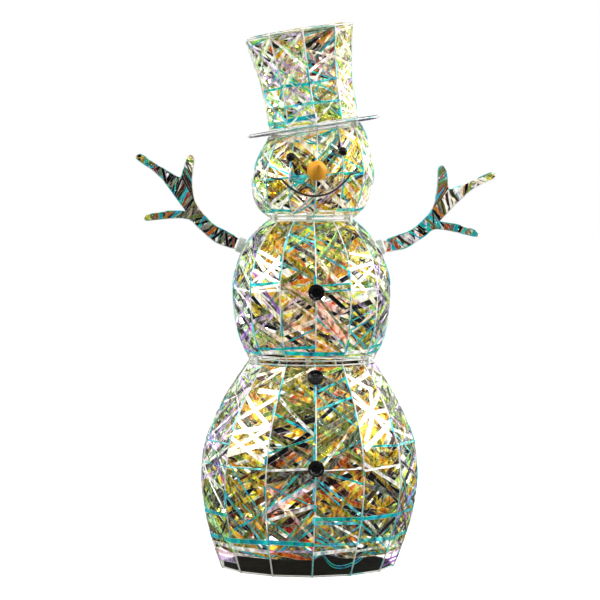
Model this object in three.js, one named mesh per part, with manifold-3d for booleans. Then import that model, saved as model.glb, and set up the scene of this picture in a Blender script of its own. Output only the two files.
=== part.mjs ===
// Pre-lit yard snowman.
// Three barrel-shaped cages of straight wires stand on each other, with a tilted top hat on the head.
// Each cage is wound with thin ribbon film and holds a string of lamps. Two flat branch arms of bent
// wire push into clear sleeves at the shoulders. Clips join the sections at the waist, neck and hat.
//
// Millimetres. +Z is up, the face looks along -Y and the origin is the centre of the underside.
// An angle around a cage is measured from the front and grows towards +X.

import * as THREE from 'three';
import { mergeVertices } from 'three/addons/utils/BufferGeometryUtils.js';
import Module from 'manifold-3d';

const wasm = await Module();
wasm.setup();

// Wire, film and clearances.
const WIRE_RADIUS = 3;
const WIRE_SIDES = 4;
const HOOP_INSET = 3.4;
const GAP = 0.4;
const FILM_STANDOFF = 3.6;
const FILM_THICKNESS = 1.2;
const FILM_END_MARGIN = 13;
const FILM_FOOT = 28;

// Each cage profile is a list of [rib radius, height], from its bottom hoop to its top hoop.
const BAYS = 14;
const HAT_BAYS = 10;
const BASE_PROFILE = [
  [246, 3], [269, 64], [294, 150], [306, 230], [304, 300], [294, 356], [258, 445], [219, 512], [178, 573],
];
const TORSO_PROFILE = [
  [178, 585], [203, 640], [218, 700], [223, 779], [215, 830], [195, 885], [157, 935], [122, 968],
];
const HEAD_PROFILE = [
  [122, 980], [149, 1005], [165, 1040], [172, 1091], [164, 1140], [148, 1185], [131, 1218],
];
const CROWN_PROFILE = [[127, 12], [129, 128], [140, 200], [156, 277]];
const BASE_MIDDLE_HOOP = 4;
const MIDDLE_HOOP = 3;
const HAT_MIDDLE_HOOP = 1;

// The base stands a little to one side of the waist, and the head leans more and more towards its top,
// where the hat sits square on it.
const BASE_CANT = 0.021;
const HAT_TILT = THREE.MathUtils.degToRad(8.8);
const HAT_SHIFT = 9;
const WAIST_BOTTOM = BASE_PROFILE[BASE_PROFILE.length - 1][1];
const HEAD_BOTTOM = HEAD_PROFILE[0][1];
const HEAD_TOP = HEAD_PROFILE[HEAD_PROFILE.length - 1][1];
const SEAT_RADIUS = HEAD_PROFILE[HEAD_PROFILE.length - 1][0] - HOOP_INSET;
const BRIM_RADIUS = 185;
const BRIM_BAYS = 20;
const BRIM_FILM_INNER = 139;
const HOOP_PITCH = 12;

// Clips stand half way between two ribs, on these bays.
const CLIP_BAYS = [2, 4, 9, 11];
const CLIP_DEPTH = 11;
const CLIP_WIDTH = 14;
const CLIP_WALL = 2.6;
const CLIP_BORE_SIDES = 8;

// Lamp strings and their two-part connectors.
const STRING_INSET = 12;
const STRING_RADIUS = 1.8;
const LAMP_RADIUS = 3.6;
const LAMP_LENGTH = 15;
const LAMP_STEP = 3;
const CONNECTOR_RADIUS = 9;
const PIN_RADIUS = 5.8;
const SOCKET_DEPTH = 14;
const SOCKET_LENGTH = 22;
const PLUG_LENGTH = 18;
const CONNECTOR_INSET = 34;
const HAT_CONNECTOR_Y = 98;
const LEAD_RISE = 14;
const WAIST_LEAD_RISE = 20;
const CONNECTOR_SIDES = 10;
const PLATE_THICKNESS = 4;
const INLET_RADIUS = 9;
const INLET_LENGTH = 30;
const INLET_Y = 192;
const INLET_LEAD = [[-14, 4], [2, 40]];

// Lamp strings run between these heights on the walls, over this many bays.
const BASE_STRING = { low: 90, high: 520, bays: 28 };
const TORSO_STRING = { low: 640, high: 850, bays: 14 };
const HEAD_STRING = { low: 1030, high: 1170, bays: 14 };
const HAT_STRING = { low: 60, high: 240, bays: 20 };

// Face and buttons.
const BUTTON_RADIUS = 22.25;
const BUTTON_HEIGHTS = { upper: 777, middle: 538, lower: 303 };
const BUTTON_HOLE_RADIUS = 2.2;
const BUTTON_HOLE_OFFSET = 4.4;
const EYE_RADIUS = 12.5;
const EYE_RIM = 2;
const EYE_DEPTH = 11.5;
const EYE_HEIGHT = 1149;
const NOSE_RADIUS = 25.5;
const NOSE_LENGTH = 105;
const NOSE_HEIGHT = 1104;
const SMILE_HALF_WIDTH = 95;
const SMILE_RISE = 52;
const SMILE_BOTTOM = 1037;
const SMILE_FLICK = 25;
const SMILE_FLICK_RISE = 5;
const SMILE_BENDS = 8;

// Shoulders. The arm's root is a hub that turns in the sleeve, and the sleeve slides on a spigot.
const SHOULDERS = {
  left: { side: -1, angle: THREE.MathUtils.degToRad(22), root: [-205, 0, 902] },
  right: { side: 1, angle: THREE.MathUtils.degToRad(13.5), root: [202, 0, 894] },
};
const SLEEVE_RADIUS = 21;
const SLEEVE_CUP = 17;
const SLEEVE_LENGTH = 33;
const SLEEVE_NOSE_RADIUS = 11;
const SPIGOT_RADIUS = 5;
const SPIGOT_TIP = 17;
const BRACKET_DEPTH = 46;
const HUB_RADIUS = 18.6;
const HUB_LENGTH = 14;
const ARM_FILM_THICKNESS = 1;
const ARM_FILM_ROOT = 3;

// Centre line of the arm's outline wire: [out along the arm, up], from the hub round the fingers.
const BRANCH = [
  [-6, 12], [6, 15], [46, 20], [88, 25], [136, 50], [158, 67], [174, 92], [190, 128], [201, 170],
  [209, 181], [217, 180], [221, 169], [219, 143], [217, 112], [243, 113], [303, 123], [341, 130],
  [352, 127], [354, 119], [341, 113], [301, 105], [269, 93], [241, 78], [217, 63], [191, 46],
  [170, 31], [190, 22], [222, 8], [262, -17], [269, -26], [266, -33], [257, -31], [215, -9],
  [178, 8], [149, 15], [125, 5], [94, -7], [60, -17], [28, -17], [6, -15], [-6, -12],
];
const BRANCH_STEPS = 50;
const PALM_WIRES = [[[158, 67], [178, 8]], [[190, 128], [218, 128]], [[217, 112], [217, 63]]];

const RIM_SIDES = 16;
const FULL_TURN = 2 * Math.PI;

function material(color, roughness, metalness = 0, opacity = 1) {
  const finish = { color, roughness, metalness, opacity, transparent: opacity < 1, flatShading: true };
  return new THREE.MeshStandardMaterial(finish);
}

const looks = {
  wire: () => material(0xf2f3f0, 0.35, 0.1),
  film: () => material(0xc9d8b4, 0.12, 0.3, 0.45),
  brimFilm: () => material(0xb9b4c4, 0.15, 0.3, 0.5),
  armFilm: () => material(0x5a4a3a, 0.15, 0.4, 0.8),
  black: () => material(0x0d0d0f, 0.3),
  panel: () => material(0x131519, 0.8),
  carrot: () => material(0xe8931f, 0.5),
  cord: () => material(0xe8eeea, 0.4),
  clear: () => material(0xe6ece6, 0.1, 0, 0.4),
  clip: () => material(0xe9ebe8, 0.45),
};

// A path through given points, so that a bent wire has one section at each bend.
class BentPath extends THREE.Curve {
  constructor(points) {
    super();
    this.points = points;
  }

  getPoint(t, target = new THREE.Vector3()) {
    const place = t * (this.points.length - 1);
    const first = Math.min(Math.floor(place), this.points.length - 2);
    return target.lerpVectors(this.points[first], this.points[first + 1], place - first);
  }

  getPointAt(u, target) {
    return this.getPoint(u, target);
  }

  getTangentAt(u, target = new THREE.Vector3()) {
    const bend = Math.round(u * (this.points.length - 1));
    const before = this.points[Math.max(bend - 1, 0)];
    const after = this.points[Math.min(bend + 1, this.points.length - 1)];
    const here = this.points[bend];
    const arriving = here.clone().sub(before).normalize();
    const leaving = after.clone().sub(here).normalize();
    return target.addVectors(arriving, leaving).normalize();
  }
}

function around(angle, radius, height) {
  return new THREE.Vector3(radius * Math.sin(angle), -radius * Math.cos(angle), height);
}

function ribAngle(bay, bays = BAYS) {
  return (bay * FULL_TURN) / bays;
}

function signedVolume(geometry) {
  const corners = geometry.attributes.position;
  const [a, b, c] = [new THREE.Vector3(), new THREE.Vector3(), new THREE.Vector3()];
  let volume = 0;
  for (let i = 0; i < geometry.index.count; i += 3) {
    a.fromBufferAttribute(corners, geometry.index.getX(i));
    b.fromBufferAttribute(corners, geometry.index.getX(i + 1));
    c.fromBufferAttribute(corners, geometry.index.getX(i + 2));
    volume += a.dot(b.cross(c)) / 6;
  }
  return volume;
}

function toSolid(geometry) {
  const bare = geometry.clone();
  bare.deleteAttribute('normal');
  bare.deleteAttribute('uv');
  const merged = mergeVertices(bare, 1e-3);
  const corners = Array.from(merged.index.array);
  if (signedVolume(merged) < 0) {
    corners.reverse();
  }
  const mesh = new wasm.Mesh({
    numProp: 3,
    vertProperties: new Float32Array(merged.attributes.position.array),
    triVerts: new Uint32Array(corners),
  });
  return new wasm.Manifold(mesh);
}

function toGeometry(solid) {
  const { vertProperties, triVerts } = solid.getMesh();
  const geometry = new THREE.BufferGeometry();
  geometry.setAttribute('position', new THREE.BufferAttribute(vertProperties, 3));
  geometry.setIndex(new THREE.BufferAttribute(triVerts, 1));
  geometry.computeVertexNormals();
  return geometry;
}

function weld(geometries) {
  const [first, ...others] = geometries.map(toSolid);
  return toGeometry(others.reduce((whole, piece) => whole.add(piece), first));
}

function cut(geometry, cutters) {
  return toGeometry(cutters.reduce((whole, cutter) => whole.subtract(toSolid(cutter)), toSolid(geometry)));
}

function named(name, geometry, look) {
  const mesh = new THREE.Mesh(geometry, look());
  mesh.name = name;
  return mesh;
}

function polygonShape(radius, sides) {
  const corners = [];
  for (let i = 0; i < sides; i += 1) {
    const angle = (i * FULL_TURN) / sides;
    corners.push(new THREE.Vector2(radius * Math.cos(angle), radius * Math.sin(angle)));
  }
  return new THREE.Shape(corners);
}

function bentWire(points, radius = WIRE_RADIUS, sides = WIRE_SIDES) {
  const settings = { steps: points.length - 1, bevelEnabled: false, extrudePath: new BentPath(points) };
  return new THREE.ExtrudeGeometry(polygonShape(radius, sides), settings);
}

function rod(start, end, radius = WIRE_RADIUS, sides = WIRE_SIDES) {
  const along = end.clone().sub(start);
  const geometry = new THREE.CylinderGeometry(radius, radius, along.length(), sides);
  const upright = new THREE.Vector3(0, 1, 0);
  geometry.applyQuaternion(new THREE.Quaternion().setFromUnitVectors(upright, along.clone().normalize()));
  geometry.translate(...start.clone().add(end).multiplyScalar(0.5));
  return geometry;
}

// Turns a closed outline of [radius, height] about the Z axis.
function turned(outline, segments) {
  const points = outline.map(([radius, height]) => new THREE.Vector2(radius, height));
  const geometry = new THREE.LatheGeometry(points, segments);
  geometry.rotateX(Math.PI / 2);
  return toGeometry(toSolid(geometry));
}

function hoop(radius, height, bays = BAYS) {
  return turned([
    [radius + WIRE_RADIUS, height],
    [radius, height + WIRE_RADIUS],
    [radius - WIRE_RADIUS, height],
    [radius, height - WIRE_RADIUS],
    [radius + WIRE_RADIUS, height],
  ], bays);
}

// Ribs stand on the outside of the hoops and run past the end hoops by a small overlap.
function cage(profile, hoops, bays = BAYS, lowOverlap = WIRE_RADIUS, highOverlap = WIRE_RADIUS) {
  const wires = hoops.map((level) => hoop(profile[level][0] - HOOP_INSET, profile[level][1], bays));
  for (let bay = 0; bay < bays; bay += 1) {
    const rib = profile.map(([radius, height]) => around(ribAngle(bay, bays), radius, height));
    const down = rib[0].clone().sub(rib[1]).normalize();
    const up = rib[rib.length - 1].clone().sub(rib[rib.length - 2]).normalize();
    rib[0].addScaledVector(down, lowOverlap);
    rib[rib.length - 1].addScaledVector(up, highOverlap);
    wires.push(bentWire(rib));
  }
  return wires;
}

function radiusAt(profile, height) {
  const upper = Math.max(1, profile.findIndex((point) => point[1] >= height));
  const [lowRadius, lowHeight] = profile[upper - 1];
  const [highRadius, highHeight] = profile[upper];
  const slope = (highRadius - lowRadius) / (highHeight - lowHeight);
  return { radius: lowRadius + slope * (height - lowHeight), slope };
}

// The part of a profile between two heights, with new end points on its lines.
function between(profile, low, high) {
  const inside = profile.filter((point) => point[1] > low + 1 && point[1] < high - 1);
  const start = [radiusAt(profile, low).radius, low];
  const end = [radiusAt(profile, high).radius, high];
  return [start, ...inside, end];
}

// Moves a profile outwards by one distance, with mitred corners.
function offset(profile, distance) {
  return profile.map(([radius, height], i) => {
    const normals = [];
    for (const [from, to] of [[i - 1, i], [i, i + 1]]) {
      if (from >= 0 && to < profile.length) {
        const rise = profile[to][1] - profile[from][1];
        normals.push(new THREE.Vector2(rise, profile[from][0] - profile[to][0]).normalize());
      }
    }
    const first = normals[0];
    const last = normals[normals.length - 1];
    const reach = distance / (1 + first.dot(last));
    return [radius + reach * (first.x + last.x), height + reach * (first.y + last.y)];
  });
}

function filmShell(profile, low, high, bays = BAYS) {
  const wall = between(profile, low, high);
  const inner = offset(wall, FILM_STANDOFF);
  const outer = offset(wall, FILM_STANDOFF + FILM_THICKNESS);
  return turned([...inner, ...outer.reverse(), inner[0]], bays);
}

// Moves a point of the upright head to where the leaning head has it.
function leaned(point) {
  const share = THREE.MathUtils.clamp((point.z - HEAD_BOTTOM) / (HEAD_TOP - HEAD_BOTTOM), 0, 1);
  const tilt = HAT_TILT * share;
  const across = point.x * Math.cos(tilt) + HAT_SHIFT * share;
  return new THREE.Vector3(across, point.y, point.z + point.x * Math.sin(tilt));
}

// Moves a point of the upright base to where the canted base has it.
function canted(point) {
  return new THREE.Vector3(point.x - BASE_CANT * (WAIST_BOTTOM - point.z), point.y, point.z);
}

function unmoved(point) {
  return point;
}

function moveGeometry(geometry, move) {
  const corners = geometry.attributes.position;
  for (let i = 0; i < corners.count; i += 1) {
    corners.setXYZ(i, ...move(new THREE.Vector3().fromBufferAttribute(corners, i)));
  }
  geometry.computeVertexNormals();
  return geometry;
}

// A lamp string climbs inside the ribs, with one bend at each rib, from one lead to the next.
function stringWall(profile, run, bays = BAYS) {
  const wall = offset(profile, -STRING_INSET);
  const points = [];
  for (let step = 0; step <= run.bays; step += 1) {
    const height = run.low + ((run.high - run.low) * step) / run.bays;
    points.push(around(ribAngle(bays / 2 + step, bays), radiusAt(wall, height).radius, height));
  }
  return points;
}

function lampString(lead, wall, tail) {
  const pieces = [bentWire([...lead, ...wall, ...tail], STRING_RADIUS)];
  for (let i = 1; i < wall.length; i += LAMP_STEP) {
    const middle = wall[i - 1].clone().lerp(wall[i], 0.5);
    const half = wall[i].clone().sub(wall[i - 1]).setLength(LAMP_LENGTH / 2);
    pieces.push(rod(middle.clone().sub(half), middle.clone().add(half), LAMP_RADIUS, 5));
  }
  return weld(pieces);
}

// Both halves of a connector have their joint face at height 0 and slide apart along Z.
function connectorSocket() {
  const bore = PIN_RADIUS + GAP;
  return turned([
    [0, -SOCKET_LENGTH], [CONNECTOR_RADIUS, -SOCKET_LENGTH], [CONNECTOR_RADIUS, 0], [bore, 0],
    [bore, -SOCKET_DEPTH], [0, -SOCKET_DEPTH],
  ], CONNECTOR_SIDES);
}

function connectorPlug() {
  return turned([
    [0, GAP - SOCKET_DEPTH], [PIN_RADIUS, GAP - SOCKET_DEPTH], [PIN_RADIUS, GAP], [CONNECTOR_RADIUS, GAP],
    [CONNECTOR_RADIUS, PLUG_LENGTH], [0, PLUG_LENGTH],
  ], CONNECTOR_SIDES);
}

// A power inlet lies along Y with its bore facing the back.
function powerInlet() {
  const geometry = turned([
    [0, 0], [INLET_RADIUS, 0], [INLET_RADIUS, INLET_LENGTH], [PIN_RADIUS, INLET_LENGTH],
    [PIN_RADIUS, INLET_LENGTH - SOCKET_DEPTH], [0, INLET_LENGTH - SOCKET_DEPTH],
  ], 12);
  geometry.rotateX(-Math.PI / 2);
  return geometry;
}

// A clip has a closed hole round the lower hoop and a slot, open at the top, for the upper one.
function clip() {
  const room = WIRE_RADIUS + GAP;
  const low = -HOOP_PITCH / 2;
  const height = HOOP_PITCH + 2 * (room + CLIP_WALL);
  const block = new THREE.BoxGeometry(CLIP_DEPTH, CLIP_WIDTH, height);
  const end = CLIP_WIDTH;
  const [hole, seat] = [low, -low].map((level) =>
    rod(new THREE.Vector3(0, -end, level), new THREE.Vector3(0, end, level), room, CLIP_BORE_SIDES));
  const slot = new THREE.BoxGeometry(2 * room * Math.cos(Math.PI / CLIP_BORE_SIDES), 2 * end, height);
  slot.translate(0, 0, height / 2 - low);
  return cut(block, [hole, seat, slot]);
}

function placeClip(mesh, bay, radius, height) {
  const angle = ribAngle(bay + 0.5);
  mesh.position.copy(around(angle, radius * Math.cos(Math.PI / BAYS), height));
  mesh.rotation.z = angle - Math.PI / 2;
  return mesh;
}

// Stands a trim piece on the ridge of the film over a rib, square to the cage's slope there.
function placeOnRib(mesh, profile, bay, height, move = unmoved) {
  const { radius, slope } = radiusAt(profile, height);
  const angle = ribAngle(bay);
  const lean = Math.atan(-slope);
  const stand = FILM_STANDOFF + FILM_THICKNESS + 2 * GAP;
  const spot = around(angle, radius + stand * Math.cos(lean), height + stand * Math.sin(lean));
  mesh.position.copy(move(spot));
  mesh.quaternion.setFromEuler(new THREE.Euler(0, 0, angle));
  mesh.quaternion.multiply(new THREE.Quaternion().setFromEuler(new THREE.Euler(Math.PI / 2 - lean, 0, 0)));
  return mesh;
}

function button() {
  const body = turned([
    [0, 0], [21, 0], [BUTTON_RADIUS, 1.5], [BUTTON_RADIUS, 7], [20.5, 9], [18, 8.2], [15.5, 5.2], [0, 4.6],
  ], RIM_SIDES);
  const holes = [];
  for (const [x, y] of [[-1, -1], [1, -1], [-1, 1], [1, 1]]) {
    const foot = new THREE.Vector3(BUTTON_HOLE_OFFSET * x, BUTTON_HOLE_OFFSET * y, -1);
    holes.push(rod(foot, foot.clone().setZ(BUTTON_RADIUS), BUTTON_HOLE_RADIUS, 6));
  }
  return cut(body, holes);
}

function eye() {
  const outline = [[0, 0], [EYE_RADIUS, 0]];
  for (let i = 0; i < 4; i += 1) {
    const angle = (i * Math.PI) / 8;
    outline.push([EYE_RADIUS * Math.cos(angle), EYE_RIM + (EYE_DEPTH - EYE_RIM) * Math.sin(angle)]);
  }
  outline.push([0, EYE_DEPTH]);
  return turned(outline, 12);
}

function carrot() {
  const outline = [[0, 0], [NOSE_RADIUS - 3, 0], [NOSE_RADIUS, 6]];
  for (const share of [0.2, 0.45, 0.7, 0.9, 0.97]) {
    outline.push([NOSE_RADIUS * (1 - share ** 1.35) + 2, NOSE_LENGTH * share]);
  }
  outline.push([0, NOSE_LENGTH]);
  return turned(outline, 12);
}

// The smile follows the outside of the head's film and turns outwards at both ends.
function smile() {
  const reach = SMILE_HALF_WIDTH + SMILE_FLICK;
  const points = [];
  for (let i = -SMILE_BENDS; i <= SMILE_BENDS; i += 1) {
    const across = (i * reach) / SMILE_BENDS;
    const curved = Math.min(Math.abs(across), SMILE_HALF_WIDTH) / SMILE_HALF_WIDTH;
    const flick = Math.max(0, Math.abs(across) - SMILE_HALF_WIDTH) / SMILE_FLICK;
    const height = SMILE_BOTTOM + SMILE_RISE * curved ** 2.2 + SMILE_FLICK_RISE * flick;
    const { radius, slope } = radiusAt(HEAD_PROFILE, height);
    const stand = FILM_STANDOFF + FILM_THICKNESS + WIRE_RADIUS + 2 * GAP;
    const outside = radius + stand * Math.hypot(1, slope);
    points.push(leaned(new THREE.Vector3(across, -Math.sqrt(outside ** 2 - across ** 2), height)));
  }
  return toGeometry(toSolid(bentWire(points, WIRE_RADIUS, 6)));
}

// Shoulder points lie on the arm's axis, at a distance in from the arm's root.
function shoulderAxis({ side, angle }) {
  return new THREE.Vector3(side * Math.cos(angle), 0, Math.sin(angle));
}

function shoulderPoint(shoulder, inward) {
  return new THREE.Vector3(...shoulder.root).addScaledVector(shoulderAxis(shoulder), -inward);
}

function shoulderBracket(shoulder) {
  const knot = shoulderPoint(shoulder, BRACKET_DEPTH);
  const pieces = [rod(knot, shoulderPoint(shoulder, SPIGOT_TIP), SPIGOT_RADIUS, 10)];
  const sideBay = BAYS / 4;
  const height = shoulderPoint(shoulder, SPIGOT_TIP).z;
  for (const step of [-0.5, 0.5]) {
    const bay = shoulder.side * (sideBay + step);
    const rib = around(ribAngle(bay), radiusAt(TORSO_PROFILE, height).radius, height);
    pieces.push(rod(knot.clone().addScaledVector(rib.clone().sub(knot).normalize(), -WIRE_RADIUS), rib));
  }
  return pieces;
}

function sleeve() {
  const cup = HUB_RADIUS + 0.8;
  const bore = SPIGOT_RADIUS + GAP;
  const floor = -SLEEVE_CUP + 1;
  return turned([
    [bore, -SLEEVE_LENGTH], [SLEEVE_NOSE_RADIUS, -SLEEVE_LENGTH], [SLEEVE_NOSE_RADIUS, -SLEEVE_CUP - 1],
    [SLEEVE_RADIUS, -SLEEVE_CUP], [SLEEVE_RADIUS, 0], [cup, 0], [cup, floor], [bore, floor],
    [bore, -SLEEVE_LENGTH],
  ], RIM_SIDES);
}

function branchCurve() {
  const points = BRANCH.map(([out, up]) => new THREE.Vector3(out, 0, up));
  return new THREE.CatmullRomCurve3(points, false, 'centripetal');
}

// The arm lies in its own XZ plane, with X along its axis and the root at the origin.
function armFrame() {
  const wires = [bentWire(branchCurve().getSpacedPoints(BRANCH_STEPS))];
  const hub = new THREE.CylinderGeometry(HUB_RADIUS, HUB_RADIUS, HUB_LENGTH, RIM_SIDES);
  hub.rotateZ(Math.PI / 2);
  hub.translate(-HUB_LENGTH / 2 - GAP, 0, 0);
  wires.push(hub);
  for (const [from, to] of PALM_WIRES) {
    wires.push(rod(new THREE.Vector3(from[0], 0, from[1]), new THREE.Vector3(to[0], 0, to[1])));
  }
  return weld(wires);
}

function armFilm(face) {
  const outline = branchCurve().getSpacedPoints(BRANCH_STEPS);
  const edge = outline.filter((point) => point.x > ARM_FILM_ROOT);
  const shape = new THREE.Shape(edge.map((point) => new THREE.Vector2(point.x, point.z)));
  const geometry = new THREE.ExtrudeGeometry(shape, { depth: ARM_FILM_THICKNESS, bevelEnabled: false });
  geometry.translate(0, 0, -ARM_FILM_THICKNESS / 2);
  geometry.rotateX(Math.PI / 2);
  geometry.translate(0, face * (WIRE_RADIUS + GAP + ARM_FILM_THICKNESS / 2), 0);
  return toGeometry(toSolid(geometry));
}

function basePlate() {
  const radius = BASE_PROFILE[0][0] - HOOP_INSET - (WIRE_RADIUS + GAP) / Math.cos(Math.PI / BAYS);
  return turned([[0, 0], [radius, 0], [radius, PLATE_THICKNESS], [0, PLATE_THICKNESS]], BAYS);
}

function hatCage() {
  const wires = cage(CROWN_PROFILE, [HAT_MIDDLE_HOOP, CROWN_PROFILE.length - 1], HAT_BAYS, 0, 0);
  wires.push(hoop(SEAT_RADIUS, HOOP_PITCH));
  wires.push(hoop(BRIM_RADIUS, HOOP_PITCH, BRIM_BAYS));
  for (let bay = 0; bay < HAT_BAYS; bay += 1) {
    const angle = ribAngle(bay, HAT_BAYS);
    wires.push(rod(around(angle, CROWN_PROFILE[0][0], HOOP_PITCH), around(angle, BRIM_RADIUS, HOOP_PITCH)));
  }
  return weld(wires);
}

function brimFilm(low) {
  const high = low + ARM_FILM_THICKNESS;
  const outer = BRIM_RADIUS;
  return turned([
    [BRIM_FILM_INNER, low], [outer, low], [outer, high], [BRIM_FILM_INNER, high], [BRIM_FILM_INNER, low],
  ], BRIM_BAYS);
}

function crownTopFilm() {
  const [radius, height] = CROWN_PROFILE[CROWN_PROFILE.length - 1];
  const low = height + WIRE_RADIUS + GAP;
  const high = low + FILM_THICKNESS;
  return turned([[0, low], [radius, low], [radius, high], [0, high]], HAT_BAYS);
}

// ---- assembly ----

const snowman = new THREE.Group();
const hatGroup = new THREE.Group();
hatGroup.position.set(HAT_SHIFT, 0, HEAD_TOP);
hatGroup.rotation.y = -HAT_TILT;
hatGroup.updateMatrix();
snowman.add(hatGroup);

function cagedSection(name, profile, options) {
  const { middle, filmLow, lowOverlap = WIRE_RADIUS, extraWires = [], cutters = [], move } = options;
  const hoops = [0, middle, profile.length - 1];
  const frame = weld([...cage(profile, hoops, BAYS, lowOverlap), ...extraWires]);
  const filmHigh = profile[profile.length - 1][1] - FILM_END_MARGIN;
  const film = cut(filmShell(profile, filmLow, filmHigh), cutters);
  snowman.add(named(`${name}_cage`, moveGeometry(frame, move), looks.wire));
  snowman.add(named(`${name}_film_wrap`, moveGeometry(film, move), looks.film));
}

function addConnector(group, prefix, x, y, height) {
  for (const [suffix, geometry] of [['socket', connectorSocket()], ['plug', connectorPlug()]]) {
    const mesh = named(`${prefix}_${suffix}`, geometry, looks.clip);
    mesh.position.set(x, y, height);
    group.add(mesh);
  }
}

function addClips(group, prefix, radius, height) {
  CLIP_BAYS.forEach((bay, i) => {
    group.add(placeClip(named(`${prefix}_clip_${i + 1}`, clip(), looks.clip), bay, radius, height));
  });
}

// Base
const waistHeight = WAIST_BOTTOM + HOOP_PITCH / 2;
const waistRadius = TORSO_PROFILE[0][0] - HOOP_INSET;
const waistY = waistRadius - CONNECTOR_INSET;
const inletHeight = PLATE_THICKNESS + GAP + INLET_RADIUS;
cagedSection('base', BASE_PROFILE, {
  middle: BASE_MIDDLE_HOOP, filmLow: FILM_FOOT, lowOverlap: 0, move: canted,
});
snowman.add(named('base_plate', moveGeometry(basePlate(), canted), looks.panel));
const inlet = named('power_inlet', powerInlet(), looks.black);
inlet.position.copy(canted(new THREE.Vector3(0, INLET_Y, inletHeight)));
snowman.add(inlet);

const baseLead = [[-GAP, 0], ...INLET_LEAD].map(([back, up]) =>
  new THREE.Vector3(inlet.position.x, INLET_Y + back, inletHeight + up));
const waistTail = [
  new THREE.Vector3(0, waistY, waistHeight - SOCKET_LENGTH - WAIST_LEAD_RISE),
  new THREE.Vector3(0, waistY, waistHeight - SOCKET_LENGTH - GAP),
];
const baseWall = stringWall(BASE_PROFILE, BASE_STRING).map(canted);
snowman.add(named('base_light_string', lampString(baseLead, baseWall, waistTail), looks.cord));
addConnector(snowman, 'waist', 0, waistY, waistHeight);
addClips(snowman, 'waist', waistRadius, waistHeight);

// Torso
const neckHeight = HEAD_BOTTOM - HOOP_PITCH / 2;
const neckRadius = HEAD_PROFILE[0][0] - HOOP_INSET;
const neckY = neckRadius - CONNECTOR_INSET;
const shoulders = Object.values(SHOULDERS);
const brackets = shoulders.flatMap(shoulderBracket);
const armHoles = shoulders.map((shoulder) => {
  const [inner, outer] = [SLEEVE_LENGTH, -SLEEVE_LENGTH].map((inward) => shoulderPoint(shoulder, inward));
  return rod(inner, outer, SLEEVE_RADIUS + 2, RIM_SIDES);
});
cagedSection('torso', TORSO_PROFILE, {
  middle: MIDDLE_HOOP,
  filmLow: TORSO_PROFILE[0][1] + FILM_END_MARGIN,
  extraWires: brackets,
  cutters: armHoles,
  move: unmoved,
});
const torsoLead = [
  new THREE.Vector3(0, waistY, waistHeight + PLUG_LENGTH + GAP),
  new THREE.Vector3(0, waistY, waistHeight + PLUG_LENGTH + WAIST_LEAD_RISE),
];
const neckTail = [
  new THREE.Vector3(0, neckY, neckHeight - SOCKET_LENGTH - WAIST_LEAD_RISE),
  new THREE.Vector3(0, neckY, neckHeight - SOCKET_LENGTH - GAP),
];
const torsoWall = stringWall(TORSO_PROFILE, TORSO_STRING);
snowman.add(named('torso_light_string', lampString(torsoLead, torsoWall, neckTail), looks.cord));
addConnector(snowman, 'neck', 0, neckY, neckHeight);
addClips(snowman, 'neck', neckRadius, neckHeight);

// Head
cagedSection('head', HEAD_PROFILE, {
  middle: MIDDLE_HOOP, filmLow: HEAD_BOTTOM + FILM_END_MARGIN, move: leaned,
});
const hatConnectorHeight = HOOP_PITCH / 2;
const headLead = [
  new THREE.Vector3(0, neckY, neckHeight + PLUG_LENGTH + GAP),
  new THREE.Vector3(0, neckY, neckHeight + PLUG_LENGTH + LEAD_RISE),
];
const headWall = stringWall(HEAD_PROFILE, HEAD_STRING).map(leaned);
const hatTail = [-SOCKET_LENGTH - LEAD_RISE, -SOCKET_LENGTH - GAP].map((drop) =>
  new THREE.Vector3(0, HAT_CONNECTOR_Y, hatConnectorHeight + drop).applyMatrix4(hatGroup.matrix));
snowman.add(named('head_light_string', lampString(headLead, headWall, hatTail), looks.cord));
addConnector(hatGroup, 'hat', 0, HAT_CONNECTOR_Y, hatConnectorHeight);
addClips(hatGroup, 'hat', SEAT_RADIUS, hatConnectorHeight);

// Face and buttons
snowman.add(placeOnRib(named('carrot_nose', carrot(), looks.carrot), HEAD_PROFILE, 0, NOSE_HEIGHT, leaned));
snowman.add(placeOnRib(named('left_eye', eye(), looks.black), HEAD_PROFILE, -1, EYE_HEIGHT, leaned));
snowman.add(placeOnRib(named('right_eye', eye(), looks.black), HEAD_PROFILE, 1, EYE_HEIGHT, leaned));
snowman.add(named('smile_wire', smile(), looks.black));
for (const [level, height] of Object.entries(BUTTON_HEIGHTS)) {
  const [profile, move] = height > waistHeight ? [TORSO_PROFILE, unmoved] : [BASE_PROFILE, canted];
  snowman.add(placeOnRib(named(`${level}_button`, button(), looks.black), profile, 0, height, move));
}

// Hat
hatGroup.add(named('hat_cage', hatCage(), looks.wire));
const crownLow = CROWN_PROFILE[0][1] + FILM_END_MARGIN;
const crownHigh = CROWN_PROFILE[CROWN_PROFILE.length - 1][1] - WIRE_RADIUS - GAP;
hatGroup.add(named('crown_film_wrap', filmShell(CROWN_PROFILE, crownLow, crownHigh, HAT_BAYS), looks.film));
hatGroup.add(named('crown_top_film', crownTopFilm(), looks.film));
const brimRoom = WIRE_RADIUS + GAP;
hatGroup.add(named('brim_film_top', brimFilm(HOOP_PITCH + brimRoom), looks.brimFilm));
hatGroup.add(named('brim_film_under', brimFilm(HOOP_PITCH - brimRoom - ARM_FILM_THICKNESS), looks.brimFilm));
const hatLead = [
  new THREE.Vector3(0, HAT_CONNECTOR_Y, hatConnectorHeight + PLUG_LENGTH + GAP),
  new THREE.Vector3(0, HAT_CONNECTOR_Y, hatConnectorHeight + PLUG_LENGTH + LEAD_RISE),
];
const hatWall = stringWall(CROWN_PROFILE, HAT_STRING, HAT_BAYS);
hatGroup.add(named('hat_light_string', lampString(hatLead, hatWall, []), looks.cord));

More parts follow.
